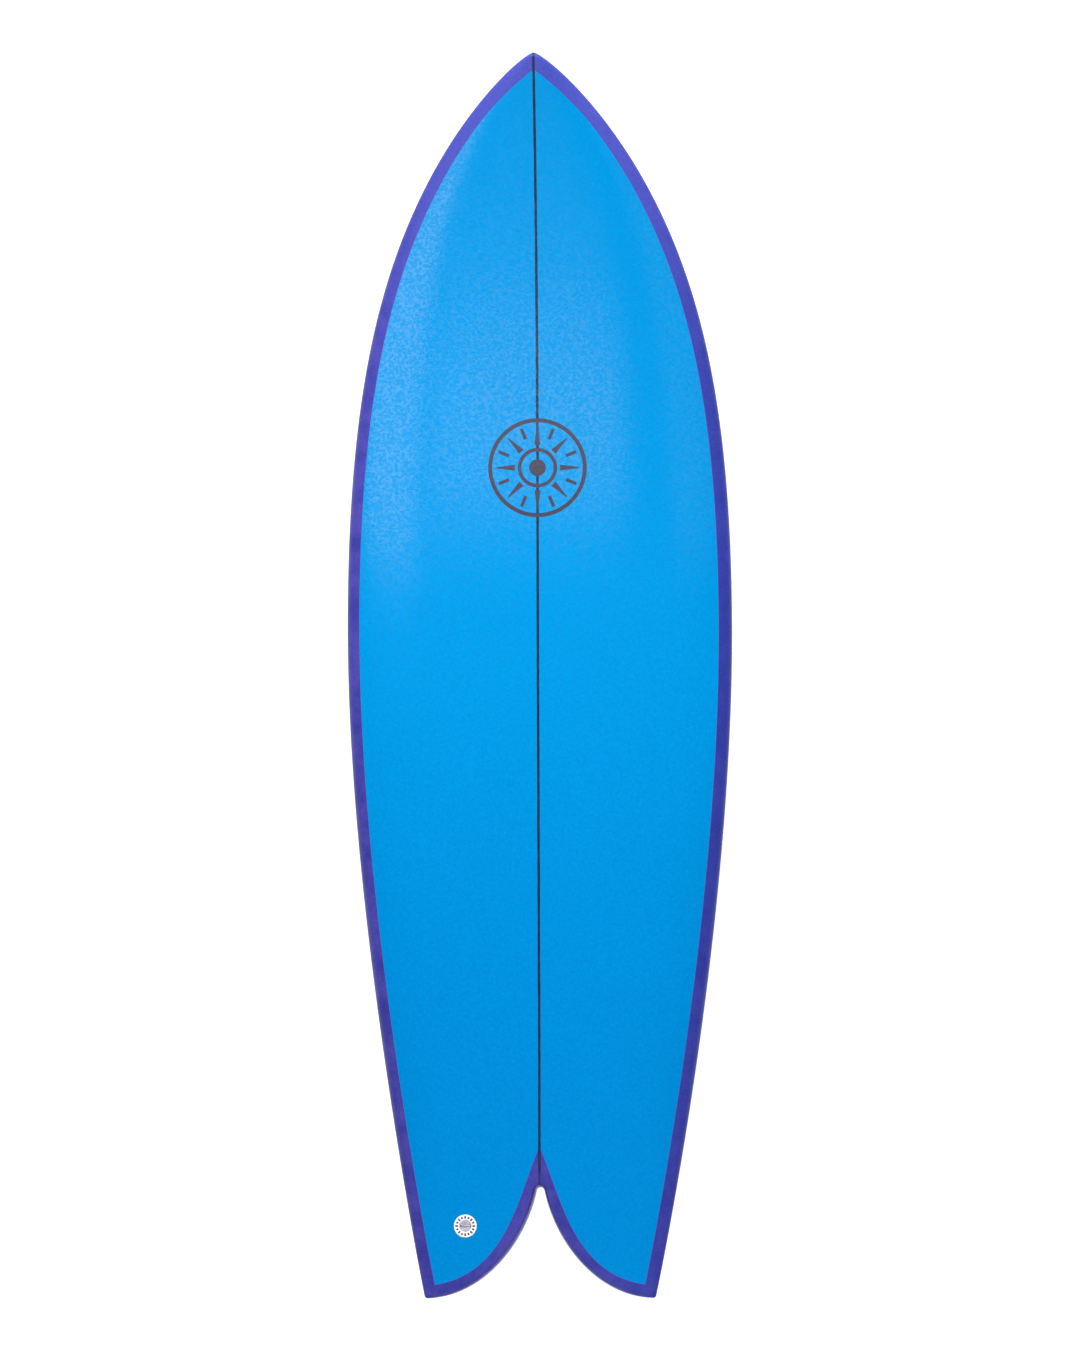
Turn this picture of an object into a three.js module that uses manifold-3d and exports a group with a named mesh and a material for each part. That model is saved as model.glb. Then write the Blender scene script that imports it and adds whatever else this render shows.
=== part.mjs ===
// A twin-keel fish surfboard, 5 ft 7 in long, 20 3/4 in wide and 2 1/2 in thick, as its separate pieces.
// Units are millimetres. +X points to the right of a rider who looks at the nose, +Y to the nose, +Z to the deck.
// The origin is on the flat of the bottom, under the stringer, midway between the nose and the tail tips.

import * as THREE from "three";
import { mergeVertices } from "three/addons/utils/BufferGeometryUtils.js";
import Module from "manifold-3d";

const wasm = await Module();
wasm.setup();

// ---------------------------------------------------------------- driving dimensions

const LENGTH = 1702;
const WIDTH = 527;
const THICKNESS = 63.5;
const NOSE_ROCKER = 112;
const TAIL_ROCKER = 44;
const FLAT_SPOT = 130; // half the length of the stretch with no rocker
const THICKEST_Y = 50;
const TIP_X = 158; // half the distance between the two tail points
const CRACK_Y = -699.5; // the apex of the swallow tail's notch
const LAP = 17.5; // width of the bottom cloth's lap on the deck, measured from the outline
const LAP_V_Y = -643.7; // where the two laps meet on the stringer, ahead of the notch

const GLASS = 0.9; // thickness of each laminated skin
const GAP = 0.3; // clearance between neighbouring pieces
const CORE = GLASS + GAP; // how far the foam lies inside the outer surface
const STRINGER = 3.2;

const NOSE_ROUND = 9;
const TAIL_ROUND = 9;
const TAIL_TUCK = 3;
const FIN_X = 152;
const FIN_Y = -636;
const PLUG_X = -102;
const PLUG_Y = -752;
const DECAL_Y = 284;
const DECAL_R = 70;

const HALF = LENGTH / 2;
const BEAM = WIDTH / 2;

// ---------------------------------------------------------------- small helpers

const v2 = (x, y) => new THREE.Vector2(x, y);
const clamp01 = (x) => Math.min(1, Math.max(0, x));
const mix = (a, b, t) => a + (b - a) * t;
const mix2 = (a, b, t) => v2(mix(a.x, b.x, t), mix(a.y, b.y, t));
const degrees = THREE.MathUtils.degToRad;
const snap = (x) => Math.round(x * 1000) / 1000;
const range = (count) => Array.from({ length: count }, (_, i) => i);

function ease(from, to, x) {
  const t = clamp01((x - from) / (to - from));
  return t * t * (3 - 2 * t);
}

// The parameter between low and high where a falling function crosses zero.
function root(low, high, falling) {
  for (let i = 0; i < 50; i++) {
    const middle = (low + high) / 2;
    if (falling(middle) > 0) low = middle;
    else high = middle;
  }
  return (low + high) / 2;
}

// ---------------------------------------------------------------- outline

// The right-hand rail from the nose to the tail tip, in three cubics that run smoothly into each other.
const SHOULDER = v2(150, 672);
const WIDEST = v2(BEAM, 61);
const TIP = v2(TIP_X, -HALF);
const RAIL = [
  new THREE.CubicBezierCurve(v2(0, HALF), v2(11, HALF), v2(87, 789.5), SHOULDER),
  new THREE.CubicBezierCurve(SHOULDER, v2(226.5, 529), v2(BEAM, 353), WIDEST),
  new THREE.CubicBezierCurve(WIDEST, v2(BEAM, -326), v2(169, -800), TIP),
];

// The right-hand side of the notch, from its rounded apex on the stringer to the tail tip.
const CRACK_RADIUS = 5.4;
const CRACK_ANGLE = 0.21; // where the round apex runs into the long curve, from the X axis
const NOTCH = new THREE.Path();
NOTCH.absarc(0, CRACK_Y - CRACK_RADIUS, CRACK_RADIUS, Math.PI / 2, CRACK_ANGLE, true);
NOTCH.bezierCurveTo(20.5, -776, 79, -HALF, TIP_X, -HALF);

// A point of the rail and its outward normal; k runs from 0 at the nose to 3 at the tail tip.
function railPoint(k) {
  const i = Math.min(RAIL.length - 1, Math.floor(k));
  const t = k - i;
  const s = 1 - t;
  const c = RAIL[i];
  const along = c.v1.clone().sub(c.v0).multiplyScalar(s * s);
  along.addScaledVector(c.v2.clone().sub(c.v1), 2 * s * t);
  along.addScaledVector(c.v3.clone().sub(c.v2), t * t).normalize();
  return { point: c.getPoint(t), normal: v2(-along.y, along.x) };
}

// The rail moved inwards by an inset, at parameter k.
function insetRail(k, inset) {
  const { point, normal } = railPoint(k);
  return point.addScaledVector(normal, -inset);
}

const railAtY = (y) => railPoint(root(0, RAIL.length, (k) => railPoint(k).point.y - y));

// Half the board's width at y, for the outline moved inwards by an inset.
function halfWidth(y, inset) {
  return insetRail(root(0, RAIL.length, (k) => insetRail(k, inset).y - y), inset).x;
}

// Distance in plan from a point to the notch.
const NOTCH_POINTS = NOTCH.getSpacedPoints(120);
function notchDistance(x, y) {
  const p = v2(Math.abs(x), y);
  let nearest = Infinity;
  for (let i = 1; i < NOTCH_POINTS.length; i++) {
    const from = NOTCH_POINTS[i - 1];
    const along = NOTCH_POINTS[i].clone().sub(from);
    const t = clamp01(p.clone().sub(from).dot(along) / along.lengthSq());
    nearest = Math.min(nearest, p.distanceTo(from.clone().addScaledVector(along, t)));
  }
  return nearest;
}

// ---------------------------------------------------------------- surfaces

// Height of the bottom along the stringer.
function rocker(y) {
  const forward = Math.max(0, y - FLAT_SPOT) / (HALF - FLAT_SPOT);
  const aft = Math.max(0, -y - FLAT_SPOT) / (HALF - FLAT_SPOT);
  return NOSE_ROCKER * forward ** 2.5 + TAIL_ROCKER * aft ** 2.1;
}

// Thickness along the stringer.
function foil(y) {
  const forward = Math.max(0, y - THICKEST_Y) / (HALF - THICKEST_Y);
  const aft = Math.max(0, THICKEST_Y - y) / (HALF + THICKEST_Y);
  return THICKNESS * (1 - 0.78 * forward ** 2.1 - 0.72 * aft ** 2.1);
}

const AFT_FROM = -150; // the rail turns from soft to hard between these two stations
const AFT_TO = -700;

// Height of the rail's widest line above the bottom.
const apex = (y) => foil(y) * (mix(0.36, 0.2, ease(AFT_FROM, AFT_TO, y)) + 0.05 * ease(300, HALF, y));

// How far in from the outline the bottom starts to turn up into the rail.
const tuck = (y) => mix(24, TAIL_TUCK, ease(AFT_FROM, AFT_TO, y));

// Exponent of the deck's crown: a higher one keeps the deck flatter and the rail boxier.
const fullness = (y) => mix(2.8, 3.5, ease(AFT_FROM, AFT_TO, y));

// Depth of the concave along the stringer.
const concave = (y) => 2.5 * ease(-200, -420, y) * (1 - ease(-480, -700, y));

// From 0 at an edge to 1 at a radius from it, as a rounded-over edge rises.
const roundOver = (distance, radius) => Math.sqrt(1 - (1 - clamp01(distance / radius)) ** 2.5);

const edgeHeight = (y) => rocker(y) + apex(y);

// Height of the deck at a plan point, for the whole shape moved inwards by an inset.
function deckHeight(x, y, inset = 0) {
  const across = Math.min(1, Math.abs(x) / Math.max(halfWidth(y, inset), 1e-6));
  const nose = roundOver(HALF - inset - y, NOSE_ROUND);
  const tail = roundOver(notchDistance(x, y) - inset, TAIL_ROUND);
  const crown = Math.sqrt(1 - across ** fullness(y)) * nose * tail;
  return edgeHeight(y) + (foil(y) - inset - apex(y)) * crown;
}

// Height of the bottom at a plan point, for the whole shape moved inwards by an inset.
function bottomHeight(x, y, inset = 0) {
  const half = Math.max(halfWidth(y, inset), 1e-6);
  const across = Math.min(1, Math.abs(x) / half);
  const reach = Math.min(tuck(y), 0.6 * half);
  const turn = clamp01((Math.abs(x) - half + reach) / reach);
  const nose = roundOver(HALF - inset - y, NOSE_ROUND);
  const tail = roundOver(notchDistance(x, y) - inset, TAIL_TUCK);
  const level = Math.sqrt(1 - turn ** 2) * nose * tail;
  return edgeHeight(y) - (apex(y) - inset - concave(y) * (1 - across ** 2) ** 2) * level;
}

// ---------------------------------------------------------------- ribs

// A rib crosses the right half of the board in plan through four points: a on the stringer or the notch,
// b and c on the lap line, and d on the outline. Each has the vector by which it moves per millimetre of inset.
const LAP_NOSE_K = root(0.05, 1, (k) => -insetRail(k, LAP).x);
const LAP_NOSE = insetRail(LAP_NOSE_K, LAP);
const LAP_TIP_D = railAtY(-835.7);
const LAP_TIP = LAP_TIP_D.point.clone().addScaledVector(LAP_TIP_D.normal, -LAP);
const LAP_TAIL = new THREE.CubicBezierCurve(v2(0, LAP_V_Y), v2(30, -713), v2(46, -818), LAP_TIP);
const LAP_AT_CRACK = 0.18; // the lap line's parameter at the rib that ends on the notch's apex
const NOTCH_AT_LAP_TIP = 0.94; // the notch's share of length at the rib through the lap's corner
const RIB_V_Y = -605; // where the ribs from the lap's V and from the notch's apex meet the outline
const RIB_CRACK_Y = -650;
const TIP_NORMAL = railPoint(RAIL.length).normal;
const TIP_INSET = v2(0, 1).sub(TIP_NORMAL);
const STEPS = { nose: 3, body: 15, vee: 3, lobe: 10, tip: 3 };

function rib(zone, w) {
  const still = v2(0, 0);
  if (zone === "nose") {
    const d = railPoint(LAP_NOSE_K * w);
    const a = { at: v2(0, mix(HALF, LAP_NOSE.y, w)), move: v2(0, w - 1) };
    return { zone, a, b: a, c: a, d: { at: d.point, move: d.normal.negate() } };
  }
  if (zone === "tip") {
    const d = railAtY(mix(LAP_TIP_D.point.y, -HALF, w));
    const u = mix(NOTCH_AT_LAP_TIP, 1, w);
    const inwards = mix2(notchNormal(u), v2(0, 1), w).addScaledVector(TIP_NORMAL, -w);
    const middle = { at: mix2(LAP_TIP, TIP, w), move: TIP_INSET.clone().multiplyScalar(w) };
    const move = d.normal.negate().add(v2(0, w));
    return { zone, a: { at: NOTCH.getPointAt(u), move: inwards }, b: middle, c: middle, d: { at: d.point, move } };
  }
  const ends = {
    body: [railPoint(LAP_NOSE_K).point.y, RIB_V_Y],
    vee: [RIB_V_Y, RIB_CRACK_Y],
    lobe: [RIB_CRACK_Y, LAP_TIP_D.point.y],
  }[zone];
  const spread = { body: mix(w, ease(0, 1, w), 0.75), vee: w, lobe: w ** 1.3 }[zone];
  const d = railAtY(mix(...ends, spread));
  const made = { zone, d: { at: d.point, move: d.normal.clone().negate() } };
  made.c = { at: d.point.clone().addScaledVector(d.normal, -LAP), move: still };
  if (zone === "body") {
    made.a = { at: v2(0, mix(LAP_NOSE.y, LAP_V_Y, spread)), move: still };
    made.b = made.a;
  } else if (zone === "vee") {
    made.a = { at: v2(0, mix(LAP_V_Y, CRACK_Y, w)), move: v2(0, w) };
    made.b = { at: LAP_TAIL.getPoint(LAP_AT_CRACK * w), move: still };
  } else {
    const u = NOTCH_AT_LAP_TIP * spread ** 1.25;
    made.a = { at: NOTCH.getPointAt(u), move: notchNormal(u) };
    made.b = { at: LAP_TAIL.getPoint(mix(LAP_AT_CRACK, 1, spread)), move: still };
  }
  return made;
}

// The notch's normal that points into the board, at a share of its length.
function notchNormal(u) {
  const along = u === 0 ? v2(1, 0) : NOTCH.getTangentAt(u);
  return v2(-along.y, along.x);
}

const ZONES = Object.keys(STEPS);
const RIBS = ZONES.flatMap((zone) => range(STEPS[zone]).map((i) => rib(zone, i / STEPS[zone])));
RIBS.push(rib("tip", 1));
const FIRST_RIB = Object.fromEntries(ZONES.map((zone) => [zone, RIBS.findIndex((r) => r.zone === zone)]));

const OUTER_BAND = [0, 0.07, 0.3, 1]; // shares of the way from the outline to the lap line
const BETWEEN_LAPS = [0, 0.1, 0.27, 0.48, 0.72, 1];
const INNER_BAND = [1, 0.45, 0.14, 0]; // shares of the way from the notch or stringer to the lap line

const insetPoint = (corner, inset) => corner.at.clone().addScaledVector(corner.move, inset);

// One strip of the deck or the bottom, as a row of points for each rib.
// strip names the two corners that it runs between; firstRib and lastRib bound it.
function strip(from, to, shares, height, inset, firstRib, lastRib, shrink = () => [0, 0]) {
  return RIBS.slice(firstRib, lastRib + 1).map((r, i) => {
    const p = insetPoint(r[from], inset);
    const q = insetPoint(r[to], inset);
    const [pull, push] = shrink(firstRib + i, p, q);
    return shares.map((share) => {
      const at = mix2(p, q, mix(pull, 1 - push, share));
      const onEdge = (share === 0 && (from === "d" || isNotch(from, r))) || (share === 1 && isNotch(to, r));
      const z = onEdge ? edgeHeight(at.y) : height(at.x, at.y, inset);
      return new THREE.Vector3(...[at.x, at.y, z].map(snap));
    });
  });
}

const isNotch = (corner, r) => corner === "a" && (r.zone === "lobe" || r.zone === "tip");

// ---------------------------------------------------------------- meshes and solids

// Collects triangles, each with its mirror image on the left half of the board.
class Skin {
  constructor() {
    this.positions = [];
  }
  face(p, q, r) {
    if (p.equals(q) || q.equals(r) || r.equals(p)) return;
    for (const v of [p, q, r]) this.positions.push(v.x, v.y, v.z);
    for (const v of [p, r, q]) this.positions.push(-v.x, v.y, v.z);
  }
  // Rows run from the nose aft and each row from the outline inwards; up turns the faces to the deck's side.
  sheet(rows, up) {
    for (let i = 1; i < rows.length; i++) {
      for (let j = 1; j < rows[i].length; j++) {
        const [p, q, r, s] = [rows[i - 1][j - 1], rows[i][j - 1], rows[i][j], rows[i - 1][j]];
        if (up) this.face(p, r, q), this.face(p, s, r);
        else this.face(p, q, r), this.face(p, r, s);
      }
    }
  }
  solid() {
    const geometry = new THREE.BufferGeometry();
    geometry.setAttribute("position", new THREE.Float32BufferAttribute(this.positions, 3));
    return solidOf(geometry);
  }
}

// A closed mesh as a solid, with its shared vertices merged and its collapsed faces left out.
function solidOf(geometry) {
  const bare = geometry.index ? geometry.toNonIndexed() : geometry.clone();
  bare.deleteAttribute("normal");
  bare.deleteAttribute("uv");
  const merged = mergeVertices(bare, 1e-4);
  const index = merged.index.array;
  const kept = [];
  for (let i = 0; i < index.length; i += 3) {
    const [a, b, c] = [index[i], index[i + 1], index[i + 2]];
    if (a !== b && b !== c && c !== a) kept.push(a, b, c);
  }
  const vertProperties = merged.getAttribute("position").array;
  return new wasm.Manifold(new wasm.Mesh({ numProp: 3, vertProperties, triVerts: new Uint32Array(kept) }));
}

function geometryOf(solid) {
  const { vertProperties, triVerts } = solid.getMesh();
  const geometry = new THREE.BufferGeometry();
  geometry.setAttribute("position", new THREE.BufferAttribute(vertProperties, 3));
  geometry.setIndex(new THREE.BufferAttribute(triVerts, 1));
  return geometry;
}

const placed = (geometry, matrix) => solidOf(geometry.clone().applyMatrix4(matrix));

function mesh(name, solid, material) {
  const made = new THREE.Mesh(geometryOf(solid), material);
  made.name = name;
  return made;
}

// A box from its lowest to its highest corner.
function block(low, high) {
  const size = high.map((value, i) => value - low[i]);
  const made = new THREE.BoxGeometry(...size);
  return made.translate(...low.map((value, i) => value + size[i] / 2));
}

// A prism with two straight sides and two round ends, along Y, from z low to z high.
function stadium(halfLength, halfBreadth, low, high, segments = 10) {
  const shape = new THREE.Shape();
  const straight = halfLength - halfBreadth;
  shape.absarc(0, straight, halfBreadth, 0, Math.PI, false);
  shape.absarc(0, -straight, halfBreadth, Math.PI, 2 * Math.PI, false);
  const options = { depth: high - low, bevelEnabled: false, curveSegments: segments };
  return new THREE.ExtrudeGeometry(shape, options).translate(0, 0, low);
}

// A body turned about Z from a profile of [radius, z] pairs that starts and ends on the axis.
function turned(profile, segments) {
  const points = profile.map(([r, z]) => v2(r, z));
  return new THREE.LatheGeometry(points, segments).rotateX(Math.PI / 2);
}

// ---------------------------------------------------------------- materials

const finish = (color, roughness, metalness = 0) =>
  new THREE.MeshStandardMaterial({ color, roughness, metalness });

const MATERIALS = {
  blueResin: finish(0x0a98e4, 0.42),
  violetResin: finish(0x4c4cb0, 0.42),
  foam: finish(0xf2efe4, 0.95),
  denseFoam: finish(0xe4dcc4, 0.95),
  wood: finish(0x6b4a33, 0.7),
  ink: finish(0x3c3a44, 0.6),
  whitePlastic: finish(0xf4f4f6, 0.4),
  steel: finish(0xb9bcc2, 0.25, 1),
  fibreglass: finish(0x24489c, 0.25),
};

// ---------------------------------------------------------------- board: core, skins and decal

const LAST = RIBS.length - 1;
const { body: BODY, vee: VEE, tip: TIP_RIB } = FIRST_RIB;

// The whole board moved inwards by an inset, as one solid.
function wholeBoard(inset) {
  const skin = new Skin();
  for (const [height, up] of [[deckHeight, true], [bottomHeight, false]]) {
    skin.sheet(strip("d", "c", OUTER_BAND, height, inset, 0, LAST), up);
    skin.sheet(strip("c", "b", BETWEEN_LAPS, height, inset, BODY, TIP_RIB), up);
    skin.sheet(strip("b", "a", INNER_BAND.map((share) => 1 - share), height, inset, VEE, LAST), up);
  }
  return skin.solid();
}

// The narrow sheet that closes a skin's edge between its outer and inner surfaces.
function closeEdge(skin, outer, inner, j, up) {
  skin.sheet(outer.map((row, i) => [row[j], inner[i][j]]), up);
}

// The bottom cloth: the whole bottom, the rails, and the lap that ends on the deck's lap line.
function bottomSkin() {
  const skin = new Skin();
  const towardsStringer = INNER_BAND.map((share) => 1 - share);
  const surfaces = [0, GLASS].map((inset) => ({
    bottom: [
      strip("d", "c", OUTER_BAND, bottomHeight, inset, 0, LAST),
      strip("c", "b", BETWEEN_LAPS, bottomHeight, inset, BODY, TIP_RIB),
      strip("b", "a", towardsStringer, bottomHeight, inset, VEE, LAST),
    ],
    outerLap: strip("d", "c", OUTER_BAND, deckHeight, inset, 0, LAST),
    innerLap: strip("b", "a", towardsStringer, deckHeight, inset, VEE, LAST),
  }));
  surfaces.forEach(({ bottom, outerLap, innerLap }, inside) => {
    for (const rows of bottom) skin.sheet(rows, inside === 1);
    skin.sheet(outerLap, inside === 0);
    skin.sheet(innerLap, inside === 0);
  });
  const [outside, inside] = surfaces;
  const cut = (rows) => rows.slice(BODY, TIP_RIB + 1);
  closeEdge(skin, cut(outside.outerLap), cut(inside.outerLap), OUTER_BAND.length - 1, true);
  const shortCut = (rows) => rows.slice(0, TIP_RIB - VEE + 1);
  closeEdge(skin, shortCut(outside.innerLap), shortCut(inside.innerLap), 0, false);
  return skin.solid();
}

// Keeps the deck cloth clear of the lap: the shares of a rib to leave free at its outer and inner ends.
function clearOfLap(i, p, q) {
  const across = p.distanceTo(q);
  if (across < 1e-6) return [0, 0];
  return [GAP / across, i > VEE ? GAP / across : 0];
}

// A sheet under the deck between two insets, inside the lap line. The first and last ribs, and the one
// at the lap's V, draw back along the board.
function deckSheet(outerInset, innerInset) {
  const skin = new Skin();
  const drawBack = { [BODY]: v2(0, -2 * GAP), [VEE]: v2(0, 4 * GAP), [TIP_RIB]: v2(-2 * GAP, 2 * GAP) };
  const [outer, inner] = [outerInset, innerInset].map((inset) => {
    const rows = strip("c", "b", BETWEEN_LAPS, deckHeight, inset, BODY, TIP_RIB, clearOfLap);
    for (const [ribIndex, move] of Object.entries(drawBack)) {
      const row = rows[ribIndex - BODY];
      const whole = Number(ribIndex) !== VEE;
      row.forEach((point, j) => {
        const share = whole ? 1 : BETWEEN_LAPS[j];
        point.x += move.x * share;
        point.y += move.y * share;
        point.z = snap(deckHeight(point.x, point.y, inset));
      });
    }
    return rows;
  });
  skin.sheet(outer, true);
  skin.sheet(inner, false);
  closeEdge(skin, outer, inner, 0, false);
  const aft = (rows) => rows.slice(VEE - BODY);
  closeEdge(skin, aft(outer), aft(inner), BETWEEN_LAPS.length - 1, true);
  return skin.solid();
}

const TALL = 400; // longer than any height of the board, for cutters that go right through

const decalDisc = (radius) =>
  solidOf(turned([[0, -TALL], [radius, -TALL], [radius, TALL], [0, TALL]], 40).translate(0, DECAL_Y, 0));

// ---------------------------------------------------------------- seats for the plug and the fin boxes

// The placing of a fitting set into the skin: origin on the surface, Y forward and turned in by toe,
// and Z along the surface's normal, which points to the deck's side.
function seat(x, y, height, toe = 0) {
  const step = 2;
  const slopeX = (height(x + step, y) - height(x - step, y)) / (2 * step);
  const slopeY = (height(x, y + step) - height(x, y - step)) / (2 * step);
  const up = new THREE.Vector3(-slopeX, -slopeY, 1).normalize();
  const forward = new THREE.Vector3(-Math.sin(toe), Math.cos(toe), 0);
  const right = new THREE.Vector3().crossVectors(forward, up).normalize();
  forward.crossVectors(up, right);
  return new THREE.Matrix4().makeBasis(right, forward, up).setPosition(x, y, height(x, y));
}

// ---------------------------------------------------------------- leash plug

const PLUG = { rim: 15.85, rimDepth: 2, body: 13.2, depth: 15, bowl: 8.6, bowlDepth: 12.5, proud: 0.2 };
const PIN = { radius: 1.7, length: 23, depth: 4.6 };

function plugCup() {
  const { rim, rimDepth, body, depth, bowl, bowlDepth, proud } = PLUG;
  const cup = solidOf(
    turned(
      [
        [0, -depth],
        [body - 1.5, -depth],
        [body, -depth + 1.5],
        [body, -rimDepth],
        [rim, -rimDepth],
        [rim, proud],
        [bowl + 0.6, proud],
        [bowl, proud - 0.6],
        [bowl, -bowlDepth + 3],
        [bowl - 0.9, -bowlDepth + 0.9],
        [bowl - 3, -bowlDepth],
        [0, -bowlDepth],
      ],
      32,
    ),
  );
  return cup.subtract(solidOf(pinBar(PIN.radius + GAP, PIN.length + 2 * GAP)));
}

// The bar across the plug's bowl, along X.
function pinBar(radius, length) {
  const bar = new THREE.CylinderGeometry(radius, radius, length, 16);
  return bar.rotateZ(Math.PI / 2).translate(0, 0, -PIN.depth);
}

// What the foam and the deck's cloth lose to the plug.
function plugHole() {
  const { rim, rimDepth, body, depth } = PLUG;
  const profile = [
    [0, -depth - GAP],
    [body + GAP, -depth - GAP],
    [body + GAP, -rimDepth - GAP],
    [rim + GAP, -rimDepth - GAP],
    [rim + GAP, 6],
    [0, 6],
  ];
  return turned(profile, 32);
}

// ---------------------------------------------------------------- fin boxes, screws and fins

// In a fin box's own frame Z runs into the board from its bottom surface, X is outboard and Y is forward.
const BOX = { halfLength: 54, halfBreadth: 13.5, depth: 15.5, flange: 5.5, flangeTop: 1.9, flangeDepth: 3.3 };
const SLOT = { y: 30, length: 26, breadth: 6.8, depth: 13.3 };
const TAB = { length: 25.4, thickness: 6.2, depth: 12.5 };
const COLLAR_WALL = 8;
const SCREW = { radius: 2.6, length: 9.8, tilt: degrees(41), socket: 1.6, socketDepth: 3, tip: 1.3 };
const SCREW_HEAD = [10.9, 0.9]; // X and Z of the middle of the screw's head
const FIN = { base: 80, depth: 118, lift: 0.5, inner: -3.1, edge: 0.8, thickness: 6.9, cant: degrees(5) };
const TOE = degrees(1.1);

const FIN_ENDS = [-1, 1]; // the rear and the front tab of each fin

// The placing of the screw beside the tab at one end of the box: Z runs down the screw to its tip.
function screwPlace(end) {
  const tilt = new THREE.Matrix4().makeRotationY(-SCREW.tilt);
  return tilt.setPosition(SCREW_HEAD[0], end * SLOT.y, SCREW_HEAD[1]);
}

const rod = (radius, low, high, segments) =>
  turned([[0, low], [radius, low], [radius, high], [0, high]], segments);

function finBox() {
  const { halfLength, halfBreadth, depth, flange, flangeTop, flangeDepth } = BOX;
  let box = solidOf(stadium(halfLength, halfBreadth, 0, depth));
  box = box.add(solidOf(stadium(halfLength + flange, halfBreadth + flange, flangeTop, flangeDepth)));
  for (const end of FIN_ENDS) {
    const low = [-SLOT.breadth / 2, end * SLOT.y - SLOT.length / 2, -1];
    const high = [SLOT.breadth / 2, end * SLOT.y + SLOT.length / 2, SLOT.depth];
    box = box.subtract(solidOf(block(low, high)));
    box = box.subtract(placed(rod(SCREW.radius + GAP, -6, SCREW.length + 1.4, 18), screwPlace(end)));
  }
  return box;
}

// The ring of dense foam that carries a fin box.
function boxCollar() {
  const { halfLength, halfBreadth, depth, flangeDepth } = BOX;
  const low = flangeDepth + GAP;
  const ring = solidOf(stadium(halfLength + COLLAR_WALL, halfBreadth + COLLAR_WALL, low, depth));
  return ring.subtract(solidOf(stadium(halfLength + GAP, halfBreadth + GAP, low - 1, depth + 1)));
}

function boxPocket() {
  const margin = COLLAR_WALL + GAP;
  return stadium(BOX.halfLength + margin, BOX.halfBreadth + margin, -4, BOX.depth + GAP);
}

function boxWindow() {
  return stadium(BOX.halfLength + GAP, BOX.halfBreadth + GAP, -4, BOX.depth);
}

function grubScrew() {
  const { radius, length, socket, socketDepth, tip } = SCREW;
  const profile = [[0, 0], [radius - 0.4, 0], [radius, 0.4], [radius, length - tip], [1.2, length], [0, length]];
  const hexagon = new THREE.CylinderGeometry(socket, socket, 2 * socketDepth, 6).rotateX(Math.PI / 2);
  return solidOf(turned(profile, 18)).subtract(solidOf(hexagon));
}

// The keel's outline as depth from the board against Y: its leading and trailing edges meet at the tip.
const LEADING = new THREE.CubicBezierCurve(v2(FIN.base, 0), v2(45, 55), v2(5, FIN.depth), v2(-60, FIN.depth));
const TRAILING = new THREE.CubicBezierCurve(v2(-FIN.base, 0), v2(-58, 45), v2(-102, FIN.depth), v2(-60, FIN.depth));
const edgeAt = (curve, depth) => curve.getPoint(root(0, 1, (t) => depth - curve.getPoint(t).y)).x;

// A foil that is flat inboard, as a ring of points at one depth: out along the curved side and back.
const CHORD = [0, 0.03, 0.12, 0.28, 0.46, 0.66, 0.85, 1];
function foilRing(depth) {
  const [front, back] = [edgeAt(LEADING, depth), edgeAt(TRAILING, depth)];
  const thickness = mix(FIN.edge, FIN.thickness, Math.sqrt(1 - (depth / FIN.depth) ** 1.6));
  const lean = depth * Math.tan(FIN.cant);
  const point = (share, x) => new THREE.Vector3(x + lean, mix(front, back, share), -FIN.lift - depth);
  const bulge = (share) => (Math.sqrt(share) * (1 - share)) / 0.385;
  const curved = CHORD.map((c) => point(c, FIN.inner + FIN.edge + (thickness - FIN.edge) * bulge(c)));
  return [...curved, ...CHORD.toReversed().map((c) => point(c, FIN.inner))];
}

function keelFin() {
  const rings = range(10).map((i) => foilRing(FIN.depth * Math.sin((i / 9) * (Math.PI / 2))));
  const positions = [];
  const face = (...corners) => corners.forEach((v) => positions.push(v.x, v.y, v.z));
  const count = rings[0].length;
  for (let i = 1; i < rings.length; i++) {
    for (let j = 0; j < count; j++) {
      const k = (j + 1) % count;
      face(rings[i - 1][j], rings[i - 1][k], rings[i][k]);
      face(rings[i - 1][j], rings[i][k], rings[i][j]);
    }
  }
  for (let j = 0; j < CHORD.length - 1; j++) {
    const k = count - 1 - j;
    face(rings[0][j], rings[0][k - 1], rings[0][j + 1]);
    face(rings[0][j], rings[0][k], rings[0][k - 1]);
  }
  const geometry = new THREE.BufferGeometry();
  geometry.setAttribute("position", new THREE.Float32BufferAttribute(positions, 3));
  let fin = solidOf(geometry);
  for (const end of FIN_ENDS) {
    const [y, half] = [end * SLOT.y, TAB.length / 2];
    const low = [-TAB.thickness / 2, y - half, -FIN.lift - 0.2];
    fin = fin.add(solidOf(block(low, [TAB.thickness / 2, y + half, TAB.depth])));
  }
  return fin;
}

// ---------------------------------------------------------------- assembly

const core = wholeBoard(CORE);
const recess = deckSheet(GLASS + 0.05, CORE + 2 * GAP).intersect(decalDisc(DECAL_R + GAP));
const carvedCore = core.subtract(recess);

const finSeat = seat(FIN_X, FIN_Y, bottomHeight, TOE);
const otherFinSeat = seat(-FIN_X, FIN_Y, bottomHeight, -TOE);
const plugSeat = seat(PLUG_X, PLUG_Y, deckHeight);
const plugSeatMirrored = seat(-PLUG_X, PLUG_Y, deckHeight);

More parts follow.
